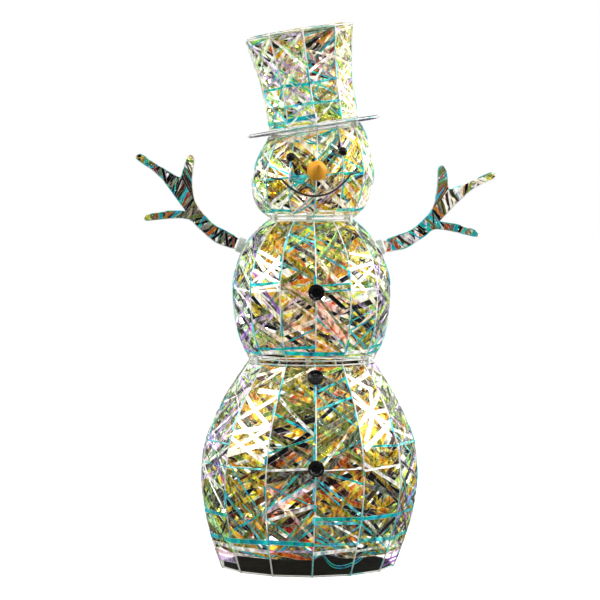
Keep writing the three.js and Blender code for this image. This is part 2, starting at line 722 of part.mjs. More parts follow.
// Arms
for (const [name, shoulder] of Object.entries(SHOULDERS)) {
  const sleeveMesh = named(`${name}_sleeve`, sleeve(), looks.clear);
  sleeveMesh.position.set(...shoulder.root);
  sleeveMesh.quaternion.setFromUnitVectors(new THREE.Vector3(0, 0, 1), shoulderAxis(shoulder));
  snowman.add(sleeveMesh);
  const arm = new THREE.Group();
  arm.position.set(...shoulder.root);
  arm.rotation.set(0, -shoulder.angle, shoulder.side > 0 ? 0 : Math.PI, 'ZYX');
  arm.add(named(`${name}_arm_frame`, armFrame(), looks.wire));
  arm.add(named(`${name}_arm_film_front`, armFilm(-shoulder.side), looks.armFilm));
  arm.add(named(`${name}_arm_film_back`, armFilm(shoulder.side), looks.armFilm));
  snowman.add(arm);
}

export default snowman;
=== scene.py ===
"""Looks for the pre-lit yard snowman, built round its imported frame.

Shapes are worked out in millimetres in the part's frame and go to Blender in metres.
An angle round a cage is measured from the front and grows towards +X.
"""

import math
from random import Random

import bpy
from mathutils import Matrix, Vector


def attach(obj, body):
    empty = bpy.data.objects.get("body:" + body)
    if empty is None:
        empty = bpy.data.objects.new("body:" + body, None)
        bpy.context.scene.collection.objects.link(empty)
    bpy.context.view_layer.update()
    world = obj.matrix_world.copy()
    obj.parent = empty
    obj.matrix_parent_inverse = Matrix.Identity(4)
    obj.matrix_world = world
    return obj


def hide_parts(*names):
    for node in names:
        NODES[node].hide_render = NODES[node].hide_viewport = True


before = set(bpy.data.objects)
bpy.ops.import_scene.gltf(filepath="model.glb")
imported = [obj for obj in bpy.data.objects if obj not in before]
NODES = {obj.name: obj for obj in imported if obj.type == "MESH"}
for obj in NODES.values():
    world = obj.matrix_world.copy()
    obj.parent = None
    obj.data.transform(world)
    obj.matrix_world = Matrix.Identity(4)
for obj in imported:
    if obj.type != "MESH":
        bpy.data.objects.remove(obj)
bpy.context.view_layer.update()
MM = 0.001

# ---------------------------------------------------------------- camera

CAMERA_AT = (-0.434, -6.988, 1.067)
CAMERA_AIM = (-0.031, 0.0, 0.745)
LENS = 150.0

camera_data = bpy.data.cameras.new("camera")
camera_data.lens = LENS
camera_data.sensor_width = 36.0
camera_data.clip_end = 60.0
camera = bpy.data.objects.new("camera", camera_data)
camera.location = CAMERA_AT
camera.rotation_euler = (Vector(CAMERA_AIM) - Vector(CAMERA_AT)).to_track_quat("-Z", "Y").to_euler()
bpy.context.scene.collection.objects.link(camera)
bpy.context.scene.camera = camera

# ---------------------------------------------------------------- the part's sizes, in millimetres

BAYS = 14
HAT_BAYS = 10
BASE_PROFILE = [
    (246, 3), (269, 64), (294, 150), (306, 230), (304, 300), (294, 356), (258, 445), (219, 512), (178, 573),
]
TORSO_PROFILE = [
    (178, 585), (203, 640), (218, 700), (223, 779), (215, 830), (195, 885), (157, 935), (122, 968),
]
HEAD_PROFILE = [(122, 980), (149, 1005), (165, 1040), (172, 1091), (164, 1140), (148, 1185), (131, 1218)]
CROWN_PROFILE = [(127, 12), (129, 128), (140, 200), (156, 277)]
BASE_CANT = 0.021
HAT_SHIFT = 9.0
HOOP_INSET = 3.4
WIRE = 2.1
HAT_TILT = math.radians(8.8)
HEAD_BOTTOM = 980.0
HEAD_TOP = 1218.0
SEAT_RADIUS = 127.6
BRIM_RADIUS = 185.0
BRIM_BAYS = 20
HOOP_PITCH = 12.0
STRING_INSET = 12.0
STRING_RADIUS = 1.5
SHOULDERS = {
    "left": {"side": -1, "angle": math.radians(22), "root": Vector((-205, 0, 902))},
    "right": {"side": 1, "angle": math.radians(13.5), "root": Vector((202, 0, 894))},
}
BRANCH = [
    (-6, 12), (6, 15), (46, 20), (88, 25), (136, 50), (158, 67), (174, 92), (190, 128), (201, 170),
    (209, 181), (217, 180), (221, 169), (219, 143), (217, 112), (243, 113), (303, 123), (341, 130),
    (352, 127), (354, 119), (341, 113), (301, 105), (269, 93), (241, 78), (217, 63), (191, 46),
    (170, 31), (190, 22), (222, 8), (262, -17), (269, -26), (266, -33), (257, -31), (215, -9),
    (178, 8), (149, 15), (125, 5), (94, -7), (60, -17), (28, -17), (6, -15), (-6, -12),
]

# ---------------------------------------------------------------- places


def around(angle, radius, height):
    return Vector((radius * math.sin(angle), -radius * math.cos(angle), height))


def rib_angle(bay, bays=BAYS):
    return bay * 2 * math.pi / bays


def on_profile(profile, height):
    """The radius of a straight-sided profile at a height, and how fast it grows there."""
    upper = next(i for i, p in enumerate(profile) if p[1] >= height)
    (r0, z0), (r1, z1) = profile[upper - 1], profile[upper]
    slope = (r1 - r0) / (z1 - z0)
    return r0 + slope * (height - z0), slope


def same(point):
    return point


def canted(point):
    """Where the canted base has a point of the upright base."""
    return Vector((point.x - BASE_CANT * (BASE_PROFILE[-1][1] - point.z), point.y, point.z))


def leaned(point):
    """Where the leaning head has a point of the upright head."""
    share = min(1.0, max(0.0, (point.z - HEAD_BOTTOM) / (HEAD_TOP - HEAD_BOTTOM)))
    tilt = HAT_TILT * share
    return Vector((point.x * math.cos(tilt) + HAT_SHIFT * share, point.y, point.z + point.x * math.sin(tilt)))


HAT = Matrix.Translation((HAT_SHIFT, 0, HEAD_TOP)) @ Matrix.Rotation(-HAT_TILT, 4, "Y")


def on_hat(point):
    return HAT @ point


def arm_matrix(name):
    shoulder = SHOULDERS[name]
    turn = Matrix.Identity(4) if shoulder["side"] > 0 else Matrix.Rotation(math.pi, 4, "Z")
    return Matrix.Translation(shoulder["root"]) @ turn @ Matrix.Rotation(-shoulder["angle"], 4, "Y")


def catmull(points, steps):
    """A smooth curve through points, with that many steps between each two."""
    found = []
    for i in range(len(points) - 1):
        p1, p2 = points[i], points[i + 1]
        p0 = points[i - 1] if i > 0 else p1 * 2 - p2
        p3 = points[i + 2] if i + 2 < len(points) else p2 * 2 - p1
        for j in range(steps):
            t = j / steps
            found.append(
                (p1 * 2 + (p2 - p0) * t + (p0 * 2 - p1 * 5 + p2 * 4 - p3) * t * t
                 + (p1 * 3 - p0 - p2 * 3 + p3) * t ** 3) * 0.5
            )
    return [*found, points[-1].copy()]


class Wall:
    """The side of a cage: a flat facet in each bay, measured by the distance up its slope."""

    def __init__(self, profile, bays, place=same):
        self.profile = profile
        self.bays = bays
        self.place = place
        self.line = catmull([Vector(p) for p in profile], 8)
        self.marks = [0.0]
        for a, b in zip(self.line, self.line[1:]):
            self.marks.append(self.marks[-1] + (b - a).length)
        self.length = self.marks[-1]

    def at(self, s):
        s = min(max(s, 0.0), self.length)
        i = 0
        while i < len(self.marks) - 2 and self.marks[i + 1] < s:
            i += 1
        share = (s - self.marks[i]) / (self.marks[i + 1] - self.marks[i])
        spot = self.line[i].lerp(self.line[i + 1], share)
        along = (self.line[i + 1] - self.line[i]).normalized()
        return spot.x, spot.y, along.y, -along.x

    def rib(self, bay, s, stand=0.0):
        radius, height, out, up = self.at(s)
        return around(rib_angle(bay, self.bays), radius + stand * out, height + stand * up)

    def point(self, bay, share, s, stand):
        return self.place(self.rib(bay, s, stand).lerp(self.rib(bay + 1, s, stand), share))

    def width(self, s):
        return 2 * self.at(s)[0] * math.sin(math.pi / self.bays)

    def s_at(self, height):
        """The distance up the slope at a height."""
        for i, (a, b) in enumerate(zip(self.line, self.line[1:])):
            if b.y >= height:
                return self.marks[i] + (self.marks[i + 1] - self.marks[i]) * (height - a.y) / (b.y - a.y)
        return self.length


WALLS = {
    "base": Wall(BASE_PROFILE, BAYS, canted),
    "torso": Wall(TORSO_PROFILE, BAYS),
    "head": Wall(HEAD_PROFILE, BAYS, leaned),
    "hat": Wall(CROWN_PROFILE, HAT_BAYS, on_hat),
}

# ---------------------------------------------------------------- mesh building


class Shape:
    """Collects points and faces, with the film's colours and its along and across distances."""

    def __init__(self):
        self.points = []
        self.faces = []
        self.uvs = []
        self.tints = []
        self.shines = []

    def add(self, points, faces):
        first = len(self.points)
        self.points.extend(points)
        self.faces.extend([tuple(first + i for i in face) for face in faces])

    def add_film(self, rows, uvs, tint, shine):
        """rows is a grid of points, all rows of one length."""
        across = len(rows[0])
        faces = []
        for i in range(len(rows) - 1):
            for j in range(across - 1):
                a = i * across + j
                faces.append((a, a + 1, a + across + 1, a + across))
        self.add([p for row in rows for p in row], faces)
        self.uvs.extend(uvs)
        self.tints.extend([tint] * len(uvs))
        # The shine's alpha marks the two edges of the film with 1, where the film material paints a
        # highlight.
        self.shines.extend([(*shine[:3], abs(2 * (i % across) / (across - 1) - 1)) for i in range(len(uvs))])

    def ribbon(self, steps, spot, mark, colours):
        """A length of film, three points wide.

        spot and mark give a point and its distances along and across the film. Both take the share of
        the length, and -1, 0 or 1 for the side.
        """
        rows, uvs = [], []
        for k in range(steps + 1):
            rows.append([spot(k / steps, j) for j in (-1, 0, 1)])
            uvs.extend([mark(k / steps, j) for j in (-1, 0, 1)])
        self.add_film(rows, uvs, *colours)


def tube(shape, points, radius, sides=8, closed=False, move=same):
    """A round wire along points. Its ends are domed."""
    points = [Vector(p) for p in points]
    count = len(points)
    tangents = []
    for i in range(count):
        if closed:
            ahead, behind = points[(i + 1) % count], points[i - 1]
        else:
            ahead, behind = points[min(i + 1, count - 1)], points[max(i - 1, 0)]
        tangents.append((ahead - behind).normalized())
    start = tangents[0].orthogonal().normalized()
    normals = [start]
    for i in range(1, count):
        turn = tangents[i - 1].rotation_difference(tangents[i])
        normals.append((turn @ normals[-1]).normalized())
    if closed:
        back = tangents[-1].rotation_difference(tangents[0]) @ normals[-1]
        twist = back.angle(start, 0.0)
        if back.cross(start).dot(tangents[0]) < 0:
            twist = -twist
        normals = [Matrix.Rotation(twist * i / count, 3, tangents[i]) @ n for i, n in enumerate(normals)]
    rings = [(points[i], tangents[i], normals[i], radius) for i in range(count)]
    if not closed:
        for end, sign in ((0, -1), (-1, 1)):
            p, t, n, r = rings[end]
            domed = [(p + t * sign * r * math.sin(a), t, n, r * math.cos(a)) for a in (0.6, 1.15)]
            rings = rings + domed if sign > 0 else domed[::-1] + rings
    made = []
    for p, t, n, r in rings:
        side = t.cross(n)
        for k in range(sides):
            a = 2 * math.pi * k / sides
            made.append(move(p + (n * math.cos(a) + side * math.sin(a)) * r))
    faces = []
    total = len(rings)
    for i in range(total if closed else total - 1):
        for k in range(sides):
            a, b = i * sides + k, i * sides + (k + 1) % sides
            c, d = ((i + 1) % total) * sides + (k + 1) % sides, ((i + 1) % total) * sides + k
            faces.append((a, b, c, d))
    if not closed:
        faces.append(tuple(range(sides))[::-1])
        faces.append(tuple((total - 1) * sides + k for k in range(sides)))
    shape.add(made, faces)


def lathe(shape, outline, segments, matrix, wobble=None):
    """Turns (radius, height) points about Z. Points at radius 0 close the ends."""
    made, rings = [], []
    for radius, height in outline:
        if radius < 1e-6:
            rings.append([len(made)])
            made.append(matrix @ Vector((0, 0, height)))
            continue
        ring = []
        for k in range(segments):
            a = 2 * math.pi * k / segments
            r, h = wobble(radius, height, a) if wobble else (radius, height)
            ring.append(len(made))
            made.append(matrix @ Vector((r * math.cos(a), r * math.sin(a), h)))
        rings.append(ring)
    faces = []
    for lower, upper in zip(rings, rings[1:]):
        for k in range(segments):
            n = (k + 1) % segments
            if len(lower) == 1 and len(upper) > 1:
                faces.append((lower[0], upper[n], upper[k]))
            elif len(upper) == 1 and len(lower) > 1:
                faces.append((lower[k], lower[n], upper[0]))
            elif len(lower) > 1:
                faces.append((lower[k], lower[n], upper[n], upper[k]))
    shape.add(made, faces)


def rotation_to(direction):
    return direction.normalized().to_track_quat("Z", "Y").to_matrix().to_4x4()


def piece(name, shape, material, body, replaces=(), smooth=True):
    """A finished object that rides on a body."""
    mesh = bpy.data.meshes.new(name)
    mesh.from_pydata([p * MM for p in shape.points], [], shape.faces)
    mesh.validate()
    if shape.uvs:
        layer = mesh.uv_layers.new(name="length")
        loops = [0] * len(mesh.loops)
        mesh.loops.foreach_get("vertex_index", loops)
        layer.data.foreach_set("uv", [c for i in loops for c in shape.uvs[i]])
        for label, colours in (("tint", shape.tints), ("shine", shape.shines)):
            layer = mesh.color_attributes.new(name=label, type="FLOAT_COLOR", domain="POINT")
            layer.data.foreach_set("color", [c for colour in colours for c in colour])
    mesh.polygons.foreach_set("use_smooth", [smooth] * len(mesh.polygons))
    mesh.materials.append(material)
    thing = bpy.data.objects.new(name, mesh)
    bpy.context.scene.collection.objects.link(thing)
    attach(thing, body)
    if replaces:
        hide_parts(*replaces)


# ---------------------------------------------------------------- materials


class Nodes:
    """Short calls for the nodes of a material, or of the world."""

    def __init__(self, name, world=None):
        self.owner = world or bpy.data.materials.new(name)
        self.owner.use_nodes = True
        self.tree = self.owner.node_tree
        self.tree.nodes.clear()
        self.out = self.tree.nodes.new("ShaderNodeOutput" + ("World" if world else "Material"))

    def new(self, kind, links=None, **values):
        node = self.tree.nodes.new("ShaderNode" + kind)
        for key, value in values.items():
            setattr(node, key, value)
        for key, value in (links or {}).items():
            if isinstance(value, bpy.types.NodeSocket):
                self.tree.links.new(value, node.inputs[key])
            else:
                node.inputs[key].default_value = value
        return node

    def place(self):
        return self.new("TexCoord").outputs["Object"]

    def math(self, operation, a, b, clamp=False):
        return self.new("Math", {0: a, 1: b}, operation=operation, use_clamp=clamp).outputs[0]

    def ramp(self, factor, low, high, to_low=0.0, to_high=1.0):
        values = {"Value": factor, "From Min": low, "From Max": high, "To Min": to_low, "To Max": to_high}
        return self.new("MapRange", values, clamp=True).outputs[0]

    def noise(self, vector, scale, detail=3.0, roughness=0.5):
        values = {"Vector": vector, "Scale": scale, "Detail": detail, "Roughness": roughness}
        return self.new("TexNoise", values).outputs["Fac"]

    def mix(self, factor, a, b, blend="MIX"):
        return self.new("Mix", {0: factor, 6: a, 7: b}, data_type="RGBA", blend_type=blend).outputs[2]

    def stretched(self, source, scale):
        return self.new("Mapping", {"Vector": source, "Scale": scale}).outputs[0]

    def bump(self, height, strength, distance):
        return self.new("Bump", {"Height": height, "Strength": strength, "Distance": distance}).outputs[0]

    def adjusted(self, colour, values):
        return self.new("HueSaturation", {"Color": colour, **values}).outputs[0]

    def solid(self, values):
        return self.new("BsdfPrincipled", values).outputs[0]

    def clear(self, colour):
        return self.new("BsdfTransparent", {"Color": colour}).outputs[0]

    def blend(self, share, a, b):
        return self.new("MixShader", {0: share, 1: a, 2: b}).outputs[0]

    def finish(self, shader):
        self.tree.links.new(shader, self.out.inputs["Surface"])
        return self.owner


def film_material(name, roughness=0.1, metallic=0.45, glow=0.4, breaks=0.34):
    """Thin iridescent film: tinted where it is clear, mirror-like where it catches the light."""
    n = Nodes(name)
    tint = n.new("Attribute", attribute_name="tint")
    shine = n.new("Attribute", attribute_name="shine")
    length = n.new("UVMap", uv_map="length").outputs[0]

    def flow(along, across, detail=2.0, rough=0.5):
        return n.noise(n.stretched(length, (along, across, 1.0)), 1.0, detail, rough)

    streak = flow(0.012, 0.9, 4.0, 0.6)
    blotch = flow(0.035, 0.05)
    fine = flow(0.02, 3.2)
    patch = flow(0.055, 0.03, 3.0, 0.6)
    # crease_highlight: thin pale lines along the film, painted highlights where creases catch the light.
    crease_highlight = n.ramp(flow(0.006, 2.6, 5.0, 0.7), 0.6, 0.68)
    uneven = n.math("MULTIPLY", n.ramp(streak, 0.3, 0.7, 0.75, 1.3), n.ramp(patch, 0.35, 0.65, 0.7, 1.35))
    turn = {"Hue": n.ramp(blotch, 0.3, 0.7, 0.44, 0.56), "Value": uneven}
    through = n.adjusted(tint.outputs["Color"], turn)
    mirror = n.adjusted(shine.outputs["Color"], turn)
    sheen = n.new("TexNoise", {"Vector": n.stretched(length, (0.04, 0.06, 1.0)), "Scale": 1.0, "Detail": 1.0})
    tinge = n.adjusted(sheen.outputs["Color"], {"Saturation": 2.6, "Value": 1.3})
    # Painted highlights: the film's colour is paler along both its edges and along the crease lines.
    edge = n.ramp(shine.outputs["Alpha"], 0.86, 0.96)
    bright = n.math("MAXIMUM", n.math("MULTIPLY", crease_highlight, 0.6), n.math("MULTIPLY", edge, 0.75))
    pale = n.mix(0.6, mirror, (0.95, 0.96, 0.9, 1))
    mirror = n.mix(0.4, n.mix(bright, mirror, pale), tinge, "SOFT_LIGHT")
    waves = n.math("MULTIPLY", n.noise(n.place(), 38.0, 2.0), 0.3)
    normal = n.bump(n.math("ADD", waves, n.math("MULTIPLY", fine, 0.2)), 0.4, 0.004)
    # The film's emission, in its mirror colour, is a painted glow: the film is no lamp.
    solid = n.solid({
        "Base Color": mirror, "Metallic": metallic, "Roughness": roughness, "IOR": 1.5, "Normal": normal,
        "Emission Color": mirror, "Emission Strength": glow,
    })
    # worn: random streaks of cover, and the painted highlight lines made more solid.
    worn = n.math("ADD", n.ramp(streak, 0.25, 0.75, -0.12, 0.14), n.math("MULTIPLY", bright, 0.35))
    broken = n.math("ADD", worn, n.ramp(patch, 0.36, 0.62, -breaks, breaks * 0.8))
    cover = n.math("ADD", tint.outputs["Alpha"], broken, True)
    return n.finish(n.blend(cover, n.clear(through), solid))


def wire_material(name):
    """White lacquered wire, with the film's colour caught along it here and there."""
    n = Nodes(name)
    place = n.place()
    patch = n.noise(place, 13.0, 2.0)
    fleck = n.noise(place, 160.0, 3.0)
    teal = n.mix(n.ramp(fleck, 0.35, 0.65), (0.05, 0.55, 0.56, 1), (0.35, 0.78, 0.76, 1))
    colour = n.mix(n.ramp(patch, 0.56, 0.6), (0.93, 0.93, 0.9, 1), teal)
    worn = n.mix(n.ramp(n.noise(place, 420.0), 0.3, 0.8, 0.0, 0.35), colour, (0.78, 0.76, 0.7, 1))
    return n.finish(n.solid({
        "Base Color": worn, "Roughness": 0.28, "Coat Weight": 0.4, "Coat Roughness": 0.1,
        "Normal": n.bump(fleck, 0.3, 0.001),
    }))


def plastic_material(name, colour, roughness, grain=900.0, depth=0.0004, spread=0.25, gloss=0.5):
    """Moulded plastic with fine grain, flow marks and a little dirt."""
    n = Nodes(name)
    place = n.place()
    dark = (*(c * (1 - spread) for c in colour), 1)
    tone = n.mix(n.ramp(n.noise(place, 60.0, 4.0), 0.35, 0.7), (*colour, 1), dark)
    rough = n.ramp(n.noise(place, 120.0, 3.0), 0.3, 0.7, roughness * 0.8, roughness * 1.3)
    return n.finish(n.solid({
        "Base Color": tone, "Roughness": rough, "Specular IOR Level": gloss,
        "Normal": n.bump(n.noise(place, grain, 2.0), 0.35, depth),
    }))


def clear_material(name):
    """Clear plastic, whiter towards its edges."""
    n = Nodes(name)
    haze = n.noise(n.place(), 90.0, 3.0)
    solid = n.solid({
        "Base Color": n.mix(n.ramp(haze, 0.3, 0.7), (0.95, 0.97, 0.95, 1), (0.8, 0.88, 0.84, 1)),
        "Roughness": 0.08, "IOR": 1.5, "Normal": n.bump(haze, 0.2, 0.001),
    })
    edge = n.new("LayerWeight", {"Blend": 0.35}).outputs["Facing"]
    share = n.math("ADD", n.math("MULTIPLY", edge, 0.6), n.ramp(haze, 0.3, 0.7, 0.154, 0.286), True)
    return n.finish(n.blend(share, n.clear((0.93, 0.96, 0.93, 1)), solid))


def lamp_material(name, strength):
    """A lit bulb, warmer in some places than in others."""
    n = Nodes(name)
    warm = n.mix(n.ramp(n.noise(n.place(), 20.0), 0.4, 0.6), (1.0, 0.98, 0.94, 1), (0.86, 0.97, 1.0, 1))
    return n.finish(n.solid({
        "Base Color": warm, "Roughness": 0.2, "Emission Color": warm, "Emission Strength": strength,
    }))


def carrot_material(name):
    """Orange plastic with thin dark rings, as a carrot has."""
    n = Nodes(name)
    place = n.place()
    rings = n.noise(n.stretched(place, (40.0, 260.0, 40.0)), 1.0, 4.0, 0.65)
    base = n.mix(n.ramp(n.noise(place, 30.0, 2.0), 0.3, 0.7), (0.98, 0.36, 0.005, 1), (1.0, 0.46, 0.01, 1))
    colour = n.mix(n.ramp(rings, 0.6, 0.72), base, (0.22, 0.05, 0.01, 1))
    return n.finish(n.solid({
        "Base Color": colour, "Roughness": 0.45, "Specular IOR Level": 0.25,
        "Normal": n.bump(rings, 0.5, 0.002),
    }))


def plate_material(name):
    """Dull black panel with a fine weave, dust, and pale lines that are scuffs and painted highlights."""
    n = Nodes(name)
    place = n.place()
    weave = n.new("TexWave", {"Vector": place, "Scale": 190.0, "Distortion": 0.4}, bands_direction="X")
    dust = n.noise(place, 14.0, 4.0)
    lines = n.noise(n.stretched(place, (3.0, 190.0, 3.0)), 1.0, 3.0)
    colour = n.mix(n.ramp(dust, 0.4, 0.75), (0.003, 0.003, 0.004, 1), (0.012, 0.013, 0.014, 1))
    # Pale bluish lines: scuffs, and painted highlights along the panel.
    colour = n.mix(n.ramp(lines, 0.62, 0.7), colour, (0.07, 0.08, 0.08, 1))
    return n.finish(n.solid({
        "Base Color": colour, "Roughness": 0.85, "Specular IOR Level": 0.08,
        "Normal": n.bump(weave.outputs["Fac"], 0.3, 0.0006),
    }))


FILM = film_material("iridescent_film")
BRIM = film_material("brim_film", 0.16, 0.5, 0.2, 0.1)
ARM = film_material("arm_film", 0.12, 0.5, 0.4, 0.0)
WIRES = wire_material("white_wire")
CORD = plastic_material("lamp_cord", (0.78, 0.84, 0.8), 0.35)
WHITE = plastic_material("white_plastic", (0.82, 0.83, 0.8), 0.42)
BLACK = plastic_material("black_plastic", (0.0015, 0.0015, 0.002), 0.07, 500.0, 0.00004, 0.3, 0.24)
BLACK_WIRE = plastic_material("black_wire", (0.006, 0.006, 0.008), 0.3, 700.0)
PANEL = plate_material("black_panel")
ORANGE = carrot_material("orange_plastic")
CLEAR = clear_material("clear_plastic")
LAMP = lamp_material("lamp_glow", 60.0)

# ---------------------------------------------------------------- film colours
# Each colour is (what shows through, what it mirrors, how much it covers).

COLOURS = {
    "gold": ((0.90, 0.66, 0.05), (0.68, 0.50, 0.05), 0.36),
    "yellow": ((0.95, 0.76, 0.10), (0.85, 0.70, 0.14), 0.32),
    "amber": ((0.82, 0.28, 0.02), (0.62, 0.25, 0.03), 0.42),
    "rust": ((0.62, 0.12, 0.02), (0.45, 0.11, 0.03), 0.45),
    "tan": ((0.96, 0.68, 0.50), (0.92, 0.66, 0.52), 0.40),
    "olive": ((0.42, 0.42, 0.06), (0.22, 0.24, 0.05), 0.40),
    "lime": ((0.60, 0.78, 0.10), (0.48, 0.72, 0.14), 0.40),
    "brown": ((0.18, 0.07, 0.03), (0.05, 0.02, 0.012), 0.62),
    # On the cage's film, black stands for the shaded inside seen through gaps: painted shade.
    "black": ((0.01, 0.006, 0.01), (0.0008, 0.0008, 0.001), 0.94),
    "teal": ((0.06, 0.60, 0.60), (0.0, 0.42, 0.44), 0.76),
    "cyan": ((0.30, 0.82, 0.84), (0.10, 0.62, 0.68), 0.50),
    "smoke": ((0.46, 0.52, 0.38), (0.20, 0.24, 0.18), 0.30),
    "clear": ((0.90, 0.89, 0.74), (0.62, 0.62, 0.50), 0.12),
    "cream": ((0.95, 0.86, 0.66), (0.92, 0.82, 0.62), 0.80),
    "white": ((0.95, 0.93, 0.88), (0.90, 0.88, 0.81), 0.80),
    "lilac": ((0.74, 0.60, 0.82), (0.62, 0.50, 0.76), 0.46),
    "purple": ((0.45, 0.20, 0.62), (0.36, 0.14, 0.55), 0.55),
    "mint": ((0.66, 0.88, 0.55), (0.60, 0.86, 0.54), 0.42),
    "pink": ((0.94, 0.70, 0.76), (0.90, 0.66, 0.74), 0.42),
}


def weights(text):
    """"gold 3 teal 1" as names and shares."""
    words = text.split()
    return words[0::2], [float(w) for w in words[1::2]]


# The kind of facet in each bay: middle ones at the front and back, then light ones, then the outer ones.
# The film's colours go by kind of facet, as painted light: pale on the light and outer facets, a painted
# reflection of the side lights, and dark on the middle ones, the painted shade of the inside seen through
# them.
KINDS = {14: "mlooolmmlooolm", 10: "mloolmmloo"}

# For each section and kind of facet: the inner film's low and high colours, then the outer film's.
FILMS = {
    "base": {
        "m": ("amber 2.4 rust 1.4 gold 2.4 black 4 brown 1.6 tan 0.8 olive 0.8",
              "gold 3.2 amber 1.4 olive 2.8 black 3.6 brown 1 yellow 0.8",
              "smoke 3.4 tan 1.8 teal 2.4 cyan 0.8 clear 3 gold 1 white 0.4 amber 0.6 pink 0.4 black 0.4",
              "smoke 3.4 olive 2.2 teal 1 cyan 0.4 clear 3 gold 1.2 lime 0.6 cream 0.3 white 0.4"),
        "l": ("gold 1.8 amber 1.4 black 4.4 olive 2 yellow 0.6 brown 1",
              "gold 4 yellow 1.4 brown 2 olive 1 black 0.8",
              "smoke 2.4 teal 3.2 cyan 1.2 white 0.8 clear 2.4 gold 1 tan 0.8 olive 1.6 black 0.6",
              "gold 2 clear 3.4 smoke 0.8 cream 0.3"),
        "o": ("black 3.6 lime 1.8 mint 1.2 gold 1 clear 0.8 brown 1 olive 1.2",
              "black 3.2 lime 1.4 mint 1.4 gold 0.8 lilac 0.8 clear 1.2 olive 1.2",
              "white 2 lilac 2 mint 2.2 lime 1.6 teal 1.2 purple 1.6 smoke 1.2 pink 0.7 olive 1.2 black 1.6",
              "white 2.2 lilac 2.4 mint 2.4 purple 1.4 pink 0.8 smoke 1.2 lime 1.2 black 1.2 olive 0.8"),
    },
    "torso": {
        "m": ("tan 3.4 brown 1.2 black 2.6 gold 1.8 amber 1.4 rust 0.6 cream 0.8",
              "gold 3.4 olive 2.6 yellow 1 amber 1.2 black 3.2 lime 0.8",
              "tan 3.4 smoke 1.4 cream 1.6 white 0.8 teal 1.5 clear 2.8 pink 1.2 gold 0.6",
              "smoke 2 olive 2.2 teal 3 cyan 1 clear 2.8 lime 1.2 gold 0.8 cream 0.3"),
        "l": ("gold 2.4 olive 1.6 black 2.8 tan 1 lime 1",
              "gold 3.4 yellow 1.2 olive 1.4 black 2.2",
              "lilac 2.2 white 2 cream 1.4 teal 1.8 lime 1 clear 2 pink 1.4 smoke 0.6 purple 0.4",
              "cream 1.4 clear 3 gold 1.6 smoke 1 white 0.6"),
        "o": ("black 3 lime 1.6 mint 1.4 clear 1.2 lilac 0.8 olive 1",
              "black 3 lime 1.2 mint 1.4 gold 0.5 lilac 1 clear 1.2 olive 0.8",
              "white 2.4 lilac 2.4 mint 2 lime 1.4 teal 0.7 purple 1.2 pink 1 clear 0.6 smoke 0.8 black 0.8",
              "white 2.4 lilac 2.6 mint 2 purple 1.2 pink 1 smoke 1 clear 0.6 lime 1 black 0.8"),
    },
    "head": {
        "m": ("gold 2 tan 2.4 black 1.8 brown 0.8 amber 1.2 olive 1",
              "gold 2.8 olive 1.6 black 0.4 yellow 1.4 clear 2.4 brown 0.5",
              "white 1.6 cream 1.8 tan 1.6 teal 1.4 clear 2.6 gold 1.2 lilac 0.5 smoke 0.6",
              "white 2.2 cream 2.2 teal 2 cyan 1.2 clear 2.6 gold 1 lime 0.6 smoke 0.4"),
        "l": ("gold 2.8 yellow 1.2 black 2.6 olive 1.4 lime 0.8",
              "gold 3.2 yellow 1.2 brown 1.4 olive 1 black 1.8",
              "white 2 cream 2.2 gold 1 clear 2 lime 0.8 teal 1 smoke 0.6 tan 0.8",
              "cream 3 white 1.2 lime 0.6 gold 0.8 clear 1.6 teal 0.5"),
        "o": ("gold 1.2 lime 1.8 clear 2.6 black 1.3 mint 1 olive 0.8 lilac 0.6",
              "lime 1.6 mint 1 clear 2.8 black 1.1 gold 0.8 olive 0.6",
              "white 2.8 pink 1.6 lilac 1.4 mint 1 lime 1.2 teal 1.2 gold 0.8 smoke 0.6",
              "white 3 cream 1 lilac 1.2 mint 1.2 lime 1.4 teal 0.8 smoke 0.6"),
    },
    "hat": {
        "m": ("gold 2.4 yellow 1.4 black 1.2 olive 1.2 lime 1 amber 0.6 clear 2.6",
              "brown 2.4 black 2.4 amber 1 clear 2.4 tan 1.2 rust 0.4",
              "white 1.4 teal 3.6 cyan 2 clear 2.6 smoke 2.2 cream 0.8 lime 0.8 gold 1",
              "smoke 3 tan 1.6 clear 2.4 white 1 cream 0.6 teal 2 lilac 0.6 brown 1.4"),
        "l": ("gold 1.6 lime 1.2 yellow 1 clear 3 olive 0.6 black 0.4",
              "gold 1.6 lime 1 yellow 1.2 clear 3 black 0.3 lilac 0.6",
              "cream 2.6 white 2.2 lime 1 clear 1.4 lilac 0.5",
              "cream 2.4 white 1.6 lilac 0.8 clear 2 gold 0.8 pink 0.6"),
        "o": ("lime 2 mint 1.2 clear 3.4 gold 0.8 olive 0.6 black 0.7",
              "lime 1.6 mint 1.2 clear 3.4 gold 0.8 black 0.6 olive 0.5 lilac 0.6",
              "white 3 lilac 1.6 lime 1.4 mint 1.2 teal 1.4 cyan 0.8 pink 0.8",
              "white 3 lilac 1.8 mint 1.4 lime 1.2 teal 1.4 pink 0.8 cyan 0.5"),
    },
}
CRINKLE = {"m": 0.7, "l": 0.45, "o": 1.6}


def palettes(name, layer):
    """The low and high colours of one layer of a section's film, by kind of facet."""
    return {
        kind: [weights(text) for text in texts[2 * layer:2 * layer + 2]]
        for kind, texts in FILMS[name].items()
    }


# How wide a ribbon of these colours is, next to the others.
NARROW = {"teal": 0.5, "cyan": 0.6, "white": 0.75, "lilac": 0.8, "lime": 0.8}


def shade(rng, name):
    """A colour as the film's two attributes, a little lighter or darker each time."""
    through, mirror, cover = COLOURS[name]
    lift = rng.uniform(0.85, 1.1)
    tint = tuple(min(1.0, c * lift) for c in through)
    shine = tuple(min(1.0, c * lift) for c in mirror)
    return (*tint, min(1.0, cover * rng.uniform(0.75, 1.2))), (*shine, 1.0)


